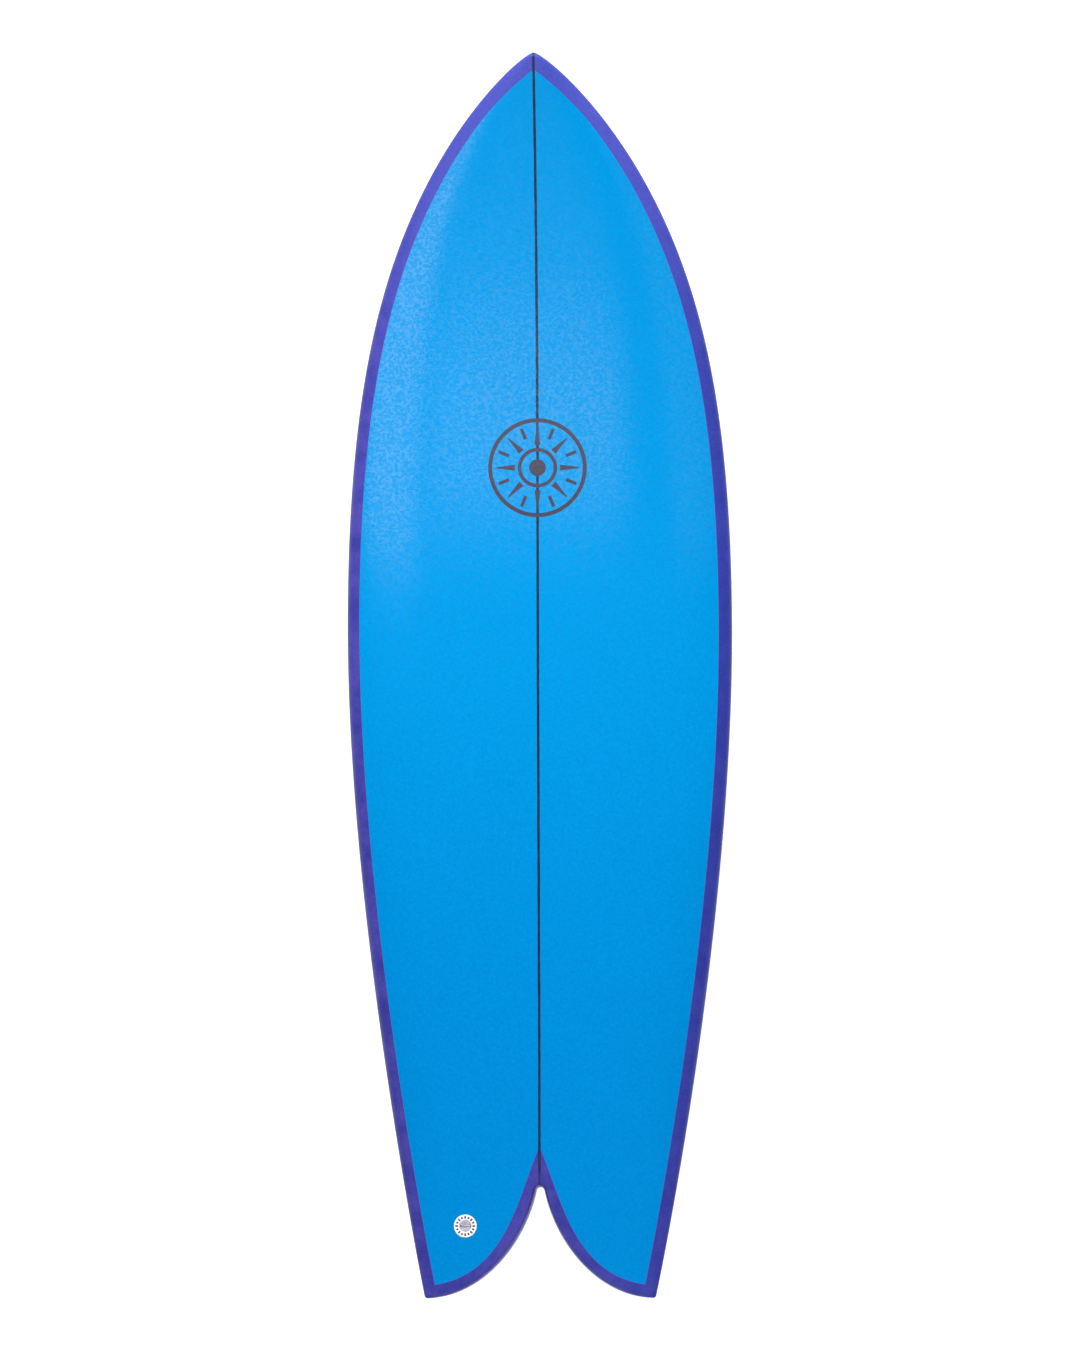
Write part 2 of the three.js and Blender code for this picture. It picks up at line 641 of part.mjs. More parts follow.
const stringer = carvedCore.intersect(
  solidOf(block([-STRINGER / 2, -2 * HALF, -TALL], [STRINGER / 2, 2 * HALF, TALL])),
);
const rightFoam = carvedCore
  .intersect(solidOf(block([STRINGER / 2 + GAP, -2 * HALF, -TALL], [WIDTH, 2 * HALF, TALL])))
  .subtract(placed(boxPocket(), finSeat));
// The left half is the right one mirrored, with the plug's hole cut at the mirrored place.
const leftFoam = rightFoam.subtract(placed(plugHole(), plugSeatMirrored));

const deckGlass = deckSheet(0, GLASS).subtract(placed(plugHole(), plugSeat));
const decal = deckSheet(CORE, CORE + GAP).intersect(decalDisc(DECAL_R));
const bottomGlass = bottomSkin()
  .subtract(placed(boxWindow(), finSeat))
  .subtract(placed(boxWindow(), otherFinSeat));

const board = new THREE.Group();
const foamLeft = mesh("foam_left", leftFoam, MATERIALS.foam);
foamLeft.scale.x = -1;
board.add(
  mesh("foam_right", rightFoam, MATERIALS.foam),
  foamLeft,
  mesh("stringer", stringer, MATERIALS.wood),
  mesh("deck_glass", deckGlass, MATERIALS.blueResin),
  mesh("bottom_glass", bottomGlass, MATERIALS.violetResin),
  mesh("deck_decal", decal, MATERIALS.ink),
);

const plug = new THREE.Group();
plug.applyMatrix4(plugSeat);
plug.add(
  mesh("leash_plug_cup", plugCup(), MATERIALS.whitePlastic),
  mesh("leash_plug_bar", solidOf(pinBar(PIN.radius, PIN.length)), MATERIALS.steel),
);

// One fin with its box, its collar and its two screws, on the right-hand side of the board.
function finAssembly(side) {
  const assembly = new THREE.Group();
  assembly.applyMatrix4(finSeat);
  assembly.add(
    mesh(`${side}_fin_box`, finBox(), MATERIALS.whitePlastic),
    mesh(`${side}_fin_box_collar`, boxCollar(), MATERIALS.denseFoam),
    mesh(`${side}_fin`, keelFin(), MATERIALS.fibreglass),
  );
  for (const end of FIN_ENDS) {
    const screw = mesh(`${side}_${end > 0 ? "front" : "rear"}_grub_screw`, grubScrew(), MATERIALS.steel);
    screw.applyMatrix4(screwPlace(end));
    assembly.add(screw);
  }
  return assembly;
}

const leftSide = new THREE.Group();
leftSide.scale.x = -1;
leftSide.add(finAssembly("left"));

const surfboard = new THREE.Group();
surfboard.add(board, plug, finAssembly("right"), leftSide);

export default surfboard;
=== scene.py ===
"""Models and shades a twin-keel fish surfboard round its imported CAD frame, and sets the stage for it."""

import math

import bpy
import numpy as np
from bpy.props import FloatProperty, FloatVectorProperty, PointerProperty
from mathutils import Matrix, Vector


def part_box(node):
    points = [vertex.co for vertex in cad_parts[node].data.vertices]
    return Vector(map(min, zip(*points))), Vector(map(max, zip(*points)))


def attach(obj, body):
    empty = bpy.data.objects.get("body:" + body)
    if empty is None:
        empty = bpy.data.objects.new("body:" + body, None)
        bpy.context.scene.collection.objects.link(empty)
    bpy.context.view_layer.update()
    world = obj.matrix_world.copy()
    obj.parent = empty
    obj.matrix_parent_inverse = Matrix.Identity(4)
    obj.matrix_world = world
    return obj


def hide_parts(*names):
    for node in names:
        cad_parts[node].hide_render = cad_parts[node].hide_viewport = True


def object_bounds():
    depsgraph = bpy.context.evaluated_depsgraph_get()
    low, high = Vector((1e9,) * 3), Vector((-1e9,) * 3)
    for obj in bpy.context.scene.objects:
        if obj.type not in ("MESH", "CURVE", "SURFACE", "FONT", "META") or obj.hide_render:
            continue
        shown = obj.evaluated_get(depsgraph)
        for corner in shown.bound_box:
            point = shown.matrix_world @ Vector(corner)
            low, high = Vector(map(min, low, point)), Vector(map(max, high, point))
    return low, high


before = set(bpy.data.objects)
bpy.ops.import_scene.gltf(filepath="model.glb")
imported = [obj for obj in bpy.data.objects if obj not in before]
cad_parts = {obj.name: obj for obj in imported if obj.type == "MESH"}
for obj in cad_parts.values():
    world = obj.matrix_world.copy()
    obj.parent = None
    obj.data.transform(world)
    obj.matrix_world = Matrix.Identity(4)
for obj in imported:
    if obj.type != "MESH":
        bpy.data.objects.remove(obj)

bl_info = {
    "name": "Fish Surfboard",
    "version": (1, 0, 0),
    "blender": (4, 5, 0),
    "location": "View3D > Sidebar > Surfboard",
    "description": "Builds a twin-keel fish surfboard in coloured resin, with its plug, boxes and fins",
    "category": "Object",
}

MM = 0.001
WELD = 1e-6  # points closer than this are one point
SHARP_EDGE = math.radians(32)

CAD_BOUNDS = [[float(v) for v in corner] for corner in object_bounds()]
BOARD_LOW, BOARD_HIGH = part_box("bottom_glass")
PLUG_LOW, PLUG_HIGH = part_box("leash_plug_cup")
FIN_BOX_LOW, FIN_BOX_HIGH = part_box("right_fin_box")
DECAL_LOW, DECAL_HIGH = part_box("deck_decal")
PLUG_CENTRE = np.mean((PLUG_LOW, PLUG_HIGH), axis=0).tolist()
FIN_BOX_CENTRE = np.mean((FIN_BOX_LOW, FIN_BOX_HIGH), axis=0).tolist()
DECAL_CENTRE = np.mean((DECAL_LOW, DECAL_HIGH), axis=0).tolist()

# The outline of the right half: a cubic from the nose to the shoulder, one to the widest point, and one
# to the tail point. The notch is one more. A handle is (x, y), or its free coordinate where the other
# is that of the nose, the widest point or the tail.
SHOULDER = (150 * MM, 672 * MM)
WIDEST_Y = 61 * MM
NOSE_HANDLES = 11 * MM, (87 * MM, 789.5 * MM)
FORE_HANDLES = (226.5 * MM, 529 * MM), 353 * MM
AFT_HANDLES = -326 * MM, (169 * MM, -800 * MM)
NOTCH_HANDLES = (20.5 * MM, -776 * MM), 79 * MM
CRACK_TURN = 0.21  # where the notch's round apex ends, in radians from straight across
LAP_TAIL_HANDLES = (30 * MM, -713 * MM), (46 * MM, -818 * MM)

# Stations on the rail where the zones of ribs end. The rib at the crack meets the inner lap line at a share
# of its length, and the rib at the lap's tip meets the notch at a share of its own.
BODY_END, VEE_END, LOBE_END = -605 * MM, -650 * MM, -835.7 * MM
LAP_AT_CRACK = 0.18
NOTCH_AT_LAP_TIP = 0.94
LAP_NOSE_FADE = 90 * MM  # where the extra width of the lap at the nose runs out, along the board
RIB_COUNTS = {"nose": 20, "body": 150, "vee": 18, "lobe": 80, "tip": 14}
BAND_STEPS = 12
CROWN_STEPS = 26
VIOLET, FRINGE = 0, 1  # material slots of the bottom skin
SOFT_TUCK = 24 * MM  # reach of the bottom's turn up to a soft rail
CLOTH_PITCH = 1.4 * MM

# The emblem's rings as inner radius, outer radius and steps, and its rays as inner radius, outer radius,
# width at the root and width at the end: millimetres on an emblem as large as the first ring.
EMBLEM_RINGS = (62.0, 67.5, 4), (22.0, 27.0, 4), (0.0, 11.5, 5)
EMBLEM_RAYS = 16
LONG_RAY, SHORT_RAY = (31.0, 57.5, 8.4, 1.2), (42.0, 57.5, 4.6, 4.6)
INK_TOP, INK_UNDER = 0.08 * MM, -0.3 * MM

CUP_BARREL, CUP_DEPTH, CUP_CHAMFER, CUP_FLANGE = 13.2 * MM, 15 * MM, 1.5 * MM, 2 * MM
LIP_ROUND, MOUTH_ROUND, BOWL_ROUND = 0.8 * MM, 1 * MM, 3 * MM
FACE_LIFT = 0.15 * MM
TICKS = 16
TICK_RADIUS, TICK_HALF_WIDTH, LONG_TICK, SHORT_TICK = 11.8 * MM, 1.2 * MM, 3.7 * MM, 2.9 * MM
BAR_RADIUS, BAR_ROUND, BAR_DROP = 1.7 * MM, 0.5 * MM, 4.6 * MM

BOX_LENGTH, BOX_BREADTH, BOX_DEPTH = 54 * MM, 13.5 * MM, 15.5 * MM
BOX_LIP, BOX_PROUD, BOX_CHAMFER = 0.5 * MM, 0.1 * MM, 1 * MM
BOX_FLANGE, FLANGE_TOP, FLANGE_UNDER = 5.5 * MM, 1.9 * MM, 3.3 * MM
SLOT_Y, SLOT_LENGTH, SLOT_BREADTH, SLOT_DEPTH = 30 * MM, 26 * MM, 6.8 * MM, 13.3 * MM
TAB_LENGTH, TAB_BREADTH, TAB_DEPTH = 25.4 * MM, 6.2 * MM, 12.5 * MM
SCREW_PLACE = (10.9 * MM, 0.9 * MM)
SCREW_TILT = math.radians(41)
SCREW_HOLE, SCREW_HOLE_DEPTH, SCREW_HOLE_START = 2.9 * MM, 11.2 * MM, -6 * MM
SCREW_RADIUS, SCREW_LENGTH, SCREW_PITCH, SCREW_CHAMFER = 2.6 * MM, 9.8 * MM, 0.8 * MM, 0.4 * MM
POINT_RADIUS, POINT_LENGTH = 1.2 * MM, 1.3 * MM
THREAD_HALF_DEPTH, THREAD_FADE = 0.17 * MM, 0.3 * MM
SOCKET_RADIUS, SOCKET_DEPTH = 1.6 * MM, 3 * MM
FIN_LIFT = 0.5 * MM
FIN_TIP_Y = -60 * MM
FIN_EDGE, FIN_FOIL, FIN_INBOARD = 0.8 * MM, 6.1 * MM, -3.1 * MM

FLOOR_REACH = 12.0
AIM_Y = 0.7 * MM
AIM_HEIGHT = 0.18  # share of the nose's height
LIGHTS = (  # name, place, target, size and the setting of its power
    ("main_light", (0, 4.5, 4.2), (0, 0, 0), (5, 3), "main_power"),
    ("tail_light", (0, -4.5, 3.0), (0, 0, 0), (4, 2), "tail_power"),
    ("sheen_light", (-0.085, 0.32, 0.8), (-0.085, 0.32, 0), (0.47, 0.16), "sheen_power"),
    ("left_light", (-0.64, 0.4, 0.8), (-0.2, 0.34, 0), (0.4, 0.5), "left_power"),
    ("right_light", (0.56, 0.4, 0.8), (0.2, 0.34, 0), (0.4, 0.46), "right_power"),
)


# ---------------------------------------------------------------- settings


def length(name, description, default):
    """A length, which can't be negative."""
    return FloatProperty(
        name=name,
        description=description,
        default=default,
        min=0.0,
        unit="LENGTH",
        precision=5,
    )


def coordinate(name, description, default):
    """A place along an axis."""
    return FloatProperty(name=name, description=description, default=default, unit="LENGTH", precision=5)


def angle(name, description, degrees):
    """An angle whose default is given in degrees."""
    return FloatProperty(name=name, description=description, default=math.radians(degrees), subtype="ANGLE")


def number(name, description, default):
    """A plain number, which can't be negative."""
    return FloatProperty(name=name, description=description, default=default, min=0.0)


def colour(name, description, red, green, blue):
    """A colour property whose default is given in 8-bit display values."""
    return FloatVectorProperty(
        name=name,
        description=description,
        subtype="COLOR",
        size=3,
        min=0.0,
        max=1.0,
        default=[linear(v / 255) for v in (red, green, blue)],
    )


def linear(value):
    """Display value to linear light."""
    return value / 12.92 if value <= 0.04045 else ((value + 0.055) / 1.055) ** 2.4


class BoardSizes(bpy.types.PropertyGroup):
    length: length("Length", "From the nose to the tail points", BOARD_HIGH[1] - BOARD_LOW[1])
    width: length("Width", "At the widest point", BOARD_HIGH[0] - BOARD_LOW[0])
    thickness: length("Thickness", "At the thickest point of the stringer", 63.5 * MM)
    nose_rocker: length("Nose rocker", "Rise of the bottom at the nose", 112 * MM)
    tail_rocker: length("Tail rocker", "Rise of the bottom at the tail", 44 * MM)
    flat_spot: length("Flat spot", "Half the length of the stretch without rocker", 130 * MM)
    thickest: coordinate("Thickest station", "Where along the stringer the board is thickest", 50 * MM)
    concave: length("Concave", "Depth of the bottom's concave", 2.5 * MM)
    tip: length("Tail point", "From the stringer to a tail point", 158 * MM)
    crack: coordinate("Crack", "Station of the notch's apex", -699.5 * MM)
    crack_radius: length("Crack radius", "Radius of the notch's apex", 5.4 * MM)
    lap: length("Lap", "Width of the bottom cloth's lap on the deck", 17.5 * MM)
    lap_nose: length("Nose lap", "How much wider the lap is at the nose", 4.5 * MM)
    lap_meeting: coordinate("Lap meeting", "Where the two tail laps meet on the stringer", -643.7 * MM)
    fringe: length("Fringe", "Width of the cut line along the lap's edge", 0.9 * MM)
    stringer: length("Stringer", "Thickness of the stringer", 3.4 * MM)
    glass: length("Glass", "Thickness of each laminated skin", 0.9 * MM)
    nose_round: length("Nose round", "Reach of the rounding at the nose's end", 9 * MM)
    tail_round: length("Tail round", "Reach of the deck's rounding into the notch", 5.5 * MM)
    tail_tuck: length("Tail tuck", "Reach of the bottom's hard edge at the tail", 3 * MM)
    tip_radius: length("Tail point radius", "Rounding of the tail points in plan", 3.5 * MM)


class FittingSizes(bpy.types.PropertyGroup):
    emblem_y: coordinate("Emblem station", "Centre of the round emblem", DECAL_CENTRE[1])
    emblem_radius: length("Emblem radius", "Outer radius of the round emblem", 67.5 * MM)
    plug_x: coordinate("Plug side", "From the stringer to the leash plug", PLUG_CENTRE[0])
    plug_y: coordinate("Plug station", "Station of the leash plug", PLUG_CENTRE[1])
    plug_radius: length("Plug radius", "Radius of the plug's rim", 15.85 * MM)
    bowl_radius: length("Bowl radius", "Radius of the plug's bowl", 8.2 * MM)
    bowl_depth: length("Bowl depth", "Depth of the plug's bowl", 12.5 * MM)
    fin_x: coordinate("Fin side", "From the stringer to a fin's base", FIN_BOX_CENTRE[0])
    fin_y: coordinate("Fin station", "Station of the middle of a fin's base", FIN_BOX_CENTRE[1])
    fin_depth: length("Fin depth", "From a fin's base to its tip", 118 * MM)
    fin_base: length("Fin base", "Half the length of a fin's base", 80 * MM)
    fin_toe: angle("Toe-in", "Turn of each fin towards the stringer", 1.1)
    fin_cant: angle("Cant", "Lean of each fin outwards", 5)


class BoardColours(bpy.types.PropertyGroup):
    deck: colour("Deck", "Blue resin of the deck", 1, 142, 211)
    # Painted shade: a darker blue over the nose half, which evens out the main lamp's stronger light there.
    deck_nose_shade: colour("Deck at the nose", "The deck's blue towards the nose", 1, 136, 203)
    deck_tail: colour("Deck at the tail", "The deck's blue where the tint is deepest", 0, 135, 209)
    lap: colour("Lap", "Violet resin of the bottom and the lap", 73, 70, 161)
    lap_deep: colour("Lap, deep", "The violet where its tint pools", 56, 58, 147)
    # Painted sheen: a lighter, bluer violet for the rails near the nose.
    lap_nose: colour("Lap at the nose", "The violet where it is thinnest", 74, 80, 175)
    # Painted shade: a darker, bluer violet for the right rail.
    lap_right_shade: colour("Lap on the right", "The violet where more blue went into it", 42, 59, 155)
    fringe: colour("Cut line", "Where the two tints cross at the lap's edge", 82, 60, 158)
    stringer: colour("Stringer", "Dark wood through the blue resin", 16, 26, 46)
    stringer_streak: colour("Stringer streak", "Lighter grain of the stringer", 52, 58, 84)
    ink: colour("Ink", "The emblem's print", 58, 54, 74)
    plug: colour("Plug", "White plastic of the plug and boxes", 252, 252, 254)
    # Painted shade and glow: this grey stands in for the shade in the bowl's recess, and it is also the
    # bowl's painted glow.
    bowl: colour("Bowl", "Thin white plastic of the plug's bowl", 188, 184, 206)
    mark: colour("Mark", "Dark marks round the plug", 34, 30, 46)
    steel: colour("Steel", "Bar and screws", 124, 125, 136)
    fin: colour("Fin", "Tinted laminate of the fins", 52, 58, 150)
    foam: colour("Foam", "Polyurethane foam", 240, 236, 222)
    wood: colour("Wood", "Bare stringer wood", 112, 78, 52)
    floor: colour("Floor", "Studio floor", 255, 255, 255)


class StageSettings(bpy.types.PropertyGroup):
    distance: length("Camera distance", "From the camera to the board", 80.0)
    view_height: length("View height", "What the image shows from top to bottom", 1.8455)
    lean: angle("Lean", "Of the camera's axis towards the right rail", 3.9)
    roll: angle("Roll", "Of the camera about its axis", 0.154)
    clearance: length("Clearance", "From the fins' tips to the floor, so that they can be drawn out", 17 * MM)
    main_power: number("Main light", "Power of the large light beyond the nose in watts", 620.0)
    tail_power: number("Tail light", "Power of the light beyond the tail in watts", 135.0)
    sheen_power: number("Sheen light", "Power of the small light over the nose in watts", 0.37)
    left_power: number("Left light", "Power of the small light over the left rail in watts", 1.35)
    right_power: number("Right light", "Power of the small light over the right rail in watts", 0.2)


# ---------------------------------------------------------------- surfaces


class Surface:
    """Gathers grids of points, joins the points that meet, and makes one mesh of them."""

    def __init__(self):
        self.points, self.quads, self.slots, self.count = [], [], [], 0

    def grid(self, points, slot=0, flip=False):
        """Joins each point of a rows by columns grid to its three neighbours by one face."""
        rows, columns = points.shape[:2]
        index = np.arange(rows * columns).reshape(rows, columns) + self.count
        quads = np.stack([index[:-1, :-1], index[1:, :-1], index[1:, 1:], index[:-1, 1:]], axis=-1)
        slots = np.broadcast_to(slot, (rows - 1, columns - 1)).reshape(-1)
        quads = quads.reshape(-1, 4)
        self.quads.append(quads[:, ::-1] if flip else quads)
        self.slots.append(slots)
        self.points.append(points.reshape(-1, 3))
        self.count += rows * columns

    def twin(self, points, slot=0, flip=False):
        """A grid and its mirror image across the stringer."""
        self.grid(points, slot, flip)
        self.grid(points * [-1, 1, 1], slot, not flip)

    def shell(self, *grids):
        """Adds (points, slot) grids that close a volume, turned so that their faces point outwards."""
        inside_out = sum(swept_volume(points) for points, _ in grids) < 0
        for points, slot in grids:
            self.grid(points, slot, inside_out)

    def build(self, name, materials):
        """The mesh object. Corners that fall together are merged, and flat-out faces are dropped."""
        points = np.concatenate(self.points)
        keys = np.round(points / WELD).astype(np.int64)
        _, first, inverse = np.unique(keys, axis=0, return_index=True, return_inverse=True)
        faces = inverse.reshape(-1)[np.concatenate(self.quads)]
        slots = np.concatenate(self.slots)
        same = faces == np.roll(faces, -1, axis=1)
        doubled = same.sum(axis=1)
        four, three = doubled == 0, doubled == 1
        triangles = faces[three][~same[three]].reshape(-1, 3)
        mesh = bpy.data.meshes.new(name)
        mesh.from_pydata(points[first], [], faces[four].tolist() + triangles.tolist())
        slots = np.concatenate([slots[four], slots[three]]).astype(np.int32)
        mesh.polygons.foreach_set("material_index", slots)
        for material in materials:
            mesh.materials.append(material)
        piece = bpy.data.objects.new(name, mesh)
        bpy.context.scene.collection.objects.link(piece)
        smooth(piece)
        return piece


def swept_volume(points):
    """Volume swept from the origin by a grid's faces: a sixth of the sum of corner times cross product."""
    a, b, c, d = points[:-1, :-1], points[1:, :-1], points[1:, 1:], points[:-1, 1:]
    return float((a * np.cross(b, c)).sum() + (a * np.cross(c, d)).sum()) / 6


def smooth(piece):
    """Smooth shading that breaks at hard edges."""
    piece.data.shade_smooth()
    piece.data.set_sharp_from_angle(angle=SHARP_EDGE)


def carve(piece, cutters):
    """Cuts closed shapes out of a piece and keeps the result as its mesh."""
    for cutter in cutters:
        cut = piece.modifiers.new("Cut", "BOOLEAN")
        cut.object = cutter
        cut.operation = "DIFFERENCE"
        cut.solver = "EXACT"
    depsgraph = bpy.context.evaluated_depsgraph_get()
    carved = bpy.data.meshes.new_from_object(piece.evaluated_get(depsgraph), depsgraph=depsgraph)
    if not carved.polygons:
        raise RuntimeError(f"cutting left nothing of {piece.name}")
    piece.modifiers.clear()
    old, piece.data = piece.data, carved
    bpy.data.meshes.remove(old)
    carved.name = piece.name
    for cutter in cutters:
        bpy.data.meshes.remove(cutter.data)
    smooth(piece)


def ease(start, end, x):
    """A smooth step from 0 at start to 1 at end: three times the square less twice the cube."""
    t = np.clip((x - start) / (end - start), 0, 1)
    return t * t * (3 - 2 * t)


def round_over(distance, radius):
    """0 at an edge, 1 at a radius from it: the root of one less the remaining share to the power 2.5."""
    return np.sqrt(1 - (1 - np.clip(distance / radius, 0, 1)) ** 2.5)


def cubic(controls, t):
    """Points and unit tangents of a cubic curve at parameters t, by Bernstein weights."""
    t = np.asarray(t)[:, None]
    s = 1 - t
    p = np.moveaxis(np.broadcast_to(controls, (len(t), 4, 2)), 1, 0)
    point = s**3 * p[0] + 3 * s * s * t * p[1] + 3 * s * t * t * p[2] + t**3 * p[3]
    along = s * s * (p[1] - p[0]) + 2 * s * t * (p[2] - p[1]) + t * t * (p[3] - p[2])
    return point, along / np.linalg.norm(along, axis=1, keepdims=True)


def left_of(along):
    """Unit vectors a quarter turn anticlockwise from the given ones."""
    return np.stack([-along[:, 1], along[:, 0]], axis=1)


class Hull:
    """The board's shape: its plan outline, and the heights of its deck and bottom over the plan."""

    A, B, C, D = range(4)  # the corners of a rib: stringer or notch, lap line twice, outline

    def __init__(self, sizes):
        self.sizes = sizes
        self.half = sizes.length / 2
        beam = sizes.width / 2
        widest, tip = (beam, WIDEST_Y), (sizes.tip, -self.half)
        self.rail_controls = np.array(
            [
                [(0, self.half), (NOSE_HANDLES[0], self.half), NOSE_HANDLES[1], SHOULDER],
                [SHOULDER, FORE_HANDLES[0], (beam, FORE_HANDLES[1]), widest],
                [widest, (beam, AFT_HANDLES[0]), AFT_HANDLES[1], tip],
            ]
        )
        self.tip = np.array(tip)
        self.table_k = np.linspace(0, 3, 24001)
        self.table_point, self.table_normal = self.rail(self.table_k)
        self.notch_table()

    def rail(self, k):
        """Points and outward normals of the right-hand rail, k from 0 at the nose to 3 at the tail point."""
        span = np.minimum(2, np.floor(k)).astype(int)
        point, along = cubic(self.rail_controls[span], k - span)
        return point, left_of(along)

    def rail_at(self, y):
        """Points and outward normals of the rail at the given stations."""
        return self.rail(np.interp(-np.asarray(y), -self.table_point[:, 1], self.table_k))

    def notch_table(self):
        """The notch's curve at even lengths: a round apex on the stringer, then one long cubic."""
        sizes = self.sizes
        turn = np.linspace(math.pi / 2, CRACK_TURN, 200)
        centre = np.array([0, sizes.crack - sizes.crack_radius])
        arc = centre + sizes.crack_radius * np.stack([np.cos(turn), np.sin(turn)], axis=1)
        arc_along = np.stack([np.sin(turn), -np.cos(turn)], axis=1)
        controls = [arc[-1], NOTCH_HANDLES[0], (NOTCH_HANDLES[1], -self.half), self.tip]
        long, long_along = cubic(np.array(controls), np.linspace(0, 1, 2000)[1:])
        self.notch_points = np.concatenate([arc, long])
        self.notch_normals = left_of(np.concatenate([arc_along, long_along]))
        steps = np.linalg.norm(np.diff(self.notch_points, axis=0), axis=1)
        self.notch_lengths = np.concatenate([[0], np.cumsum(steps)]) / steps.sum()

    def notch(self, u):
        """Points of the notch at shares u of its length, and normals into the board."""
        parts = [
            np.stack([np.interp(u, self.notch_lengths, table[:, i]) for i in (0, 1)], axis=1)
            for table in (self.notch_points, self.notch_normals)
        ]
        return parts[0], parts[1] / np.linalg.norm(parts[1], axis=1, keepdims=True)

    def notch_distance(self, x, y):
        """Distance in plan to the notch's nearest chord. Ahead of the notch it is simply large."""
        away = np.full(x.shape, 1.0)
        near = y < self.sizes.crack + 0.03
        points = np.stack([np.abs(x[near]), y[near]], axis=1)
        corners = self.notch_points[::6]
        start, chord = corners[:-1], np.diff(corners, axis=0)
        found = []
        for batch in np.array_split(points, max(1, len(points) // 1500)):
            to = batch[:, None] - start
            t = np.clip((to * chord).sum(-1) / (chord**2).sum(-1), 0, 1)
            found.append(np.sqrt(((to - t[..., None] * chord) ** 2).sum(-1)).min(axis=1))
        away[near] = np.concatenate(found)
        return away

    def half_width(self, y, inset):
        """Half the width at a station, of the outline moved in by the inset."""
        inner = self.table_point - self.table_normal * inset
        return np.maximum(np.interp(-y, -inner[:, 1], inner[:, 0]), 1e-9)

    def rocker(self, y):
        """Height of the bottom on the stringer: a power of the distance past the flat spot, each way."""
        sizes = self.sizes
        reach = self.half - sizes.flat_spot
        forward = np.clip(y - sizes.flat_spot, 0, None) / reach
        aft = np.clip(-y - sizes.flat_spot, 0, None) / reach
        return sizes.nose_rocker * forward**2.5 + sizes.tail_rocker * aft**2.1

    def foil(self, y):
        """Thickness on the stringer: full at its thickest, less by a power of the distance from there."""
        sizes = self.sizes
        forward = np.clip(y - sizes.thickest, 0, None) / (self.half - sizes.thickest)
        aft = np.clip(sizes.thickest - y, 0, None) / (self.half + sizes.thickest)
        return sizes.thickness * (1 - 0.78 * forward**2.1 - 0.72 * aft**2.1)

    def hardening(self, y):
        """0 where the rails are soft, 1 where they are hard."""
        return ease(-150 * MM, -700 * MM, y)

    def apex(self, y):
        """Height of the rail's outermost line over the bottom: a share of the thickness, less where hard."""
        share = 0.36 - 0.16 * self.hardening(y) + 0.05 * ease(300 * MM, self.half, y)
        return self.foil(y) * share

    def edge(self, y):
        """Height of the rail's outermost line."""
        return self.rocker(y) + self.apex(y)

    def deck(self, x, y, inset=0.0):
        """Deck height: the rail's height plus a crown that falls off as a superellipse towards the rail."""
        sizes = self.sizes
        across = np.minimum(1, np.abs(x) / self.half_width(y, inset))
        nose = round_over(self.half - inset - y, sizes.nose_round)
        tail = round_over(self.notch_distance(x, y) - inset, sizes.tail_round)
        power = 2.8 + 0.7 * self.hardening(y)
        crown = np.sqrt(np.clip(1 - across**power, 0, 1)) * nose * tail
        return self.edge(y) + (self.foil(y) - inset - self.apex(y)) * crown

    def bottom(self, x, y, inset=0.0):
        """Bottom height: flat or slightly concave, then up to the rail along a quarter ellipse."""
        sizes = self.sizes
        half = self.half_width(y, inset)
        across = np.minimum(1, np.abs(x) / half)
        tuck = SOFT_TUCK + (sizes.tail_tuck - SOFT_TUCK) * self.hardening(y)
        reach = np.minimum(tuck, 0.6 * half)
        turn = np.clip((np.abs(x) - half + reach) / reach, 0, 1)
        nose = round_over(self.half - inset - y, sizes.nose_round)
        tail = round_over(self.notch_distance(x, y) - inset, sizes.tail_tuck)
        level = np.sqrt(1 - turn**2) * nose * tail
        ends = ease(-200 * MM, -420 * MM, y) * (1 - ease(-480 * MM, -700 * MM, y))
        concave = sizes.concave * ends * (1 - across**2) ** 2
        return self.edge(y) - (self.apex(y) - inset - concave) * level

    def ribs(self, counts):
        """The corners of ribs across the right half, nose to tail, and how each moves per metre of inset."""
        sizes, lap = self.sizes, self.sizes.lap
        inner_x = self.table_point[:, 0] - self.table_normal[:, 0] * lap
        first = np.argmax((inner_x > 0) & (self.table_k > 0.05))
        k_nose = np.interp(0, inner_x[first - 1 : first + 1], self.table_k[first - 1 : first + 1])
        start, start_normal = self.rail(np.array([k_nose]))
        lap_nose = start[0] - start_normal[0] * lap
        lap_nose = np.array([0, lap_nose[1] - sizes.lap_nose])
        corner, corner_normal = self.rail_at([LOBE_END])
        lap_tip = (corner - corner_normal * lap)[0]
        lap_tail = np.array([(0, sizes.lap_meeting), *LAP_TAIL_HANDLES, lap_tip])
        tip_normal = self.rail(np.array([3.0]))[1][0]
        up = np.array([0.0, 1.0])
        spread = {zone: np.linspace(0, 1, count, endpoint=False) for zone, count in counts.items()}
        spread["tip"] = np.linspace(0, 1, counts["tip"] + 1)
        self.starts = dict(zip(counts, np.cumsum([0] + [len(w) for w in spread.values()])))
        at, move = [], []

        def station(y, x=0.0):
            """Plan points at the given stations, on the stringer unless x is given."""
            return np.stack(np.broadcast_arrays(x, y), axis=1)

        w = spread["nose"] ** 1.4
        d, normal = self.rail(k_nose * w)
        a = station(self.half + (lap_nose[1] - self.half) * w)
        inwards = station(w - 1)
        at.append([a, a, a, d])
        move.append([inwards, inwards, inwards, -normal])

        w = spread["body"]
        w = w + 0.75 * (ease(0, 1, w) - w)
        d, normal = self.rail_at(start[0, 1] + (BODY_END - start[0, 1]) * w)
        a = station(lap_nose[1] + (sizes.lap_meeting - lap_nose[1]) * w)
        still = np.zeros_like(a)
        wider = sizes.lap_nose * (1 - ease(start[0, 1], start[0, 1] - LAP_NOSE_FADE, d[:, 1]))
        at.append([a, a, d - normal * lap - up * wider[:, None], d])
        move.append([still, still, still, -normal])

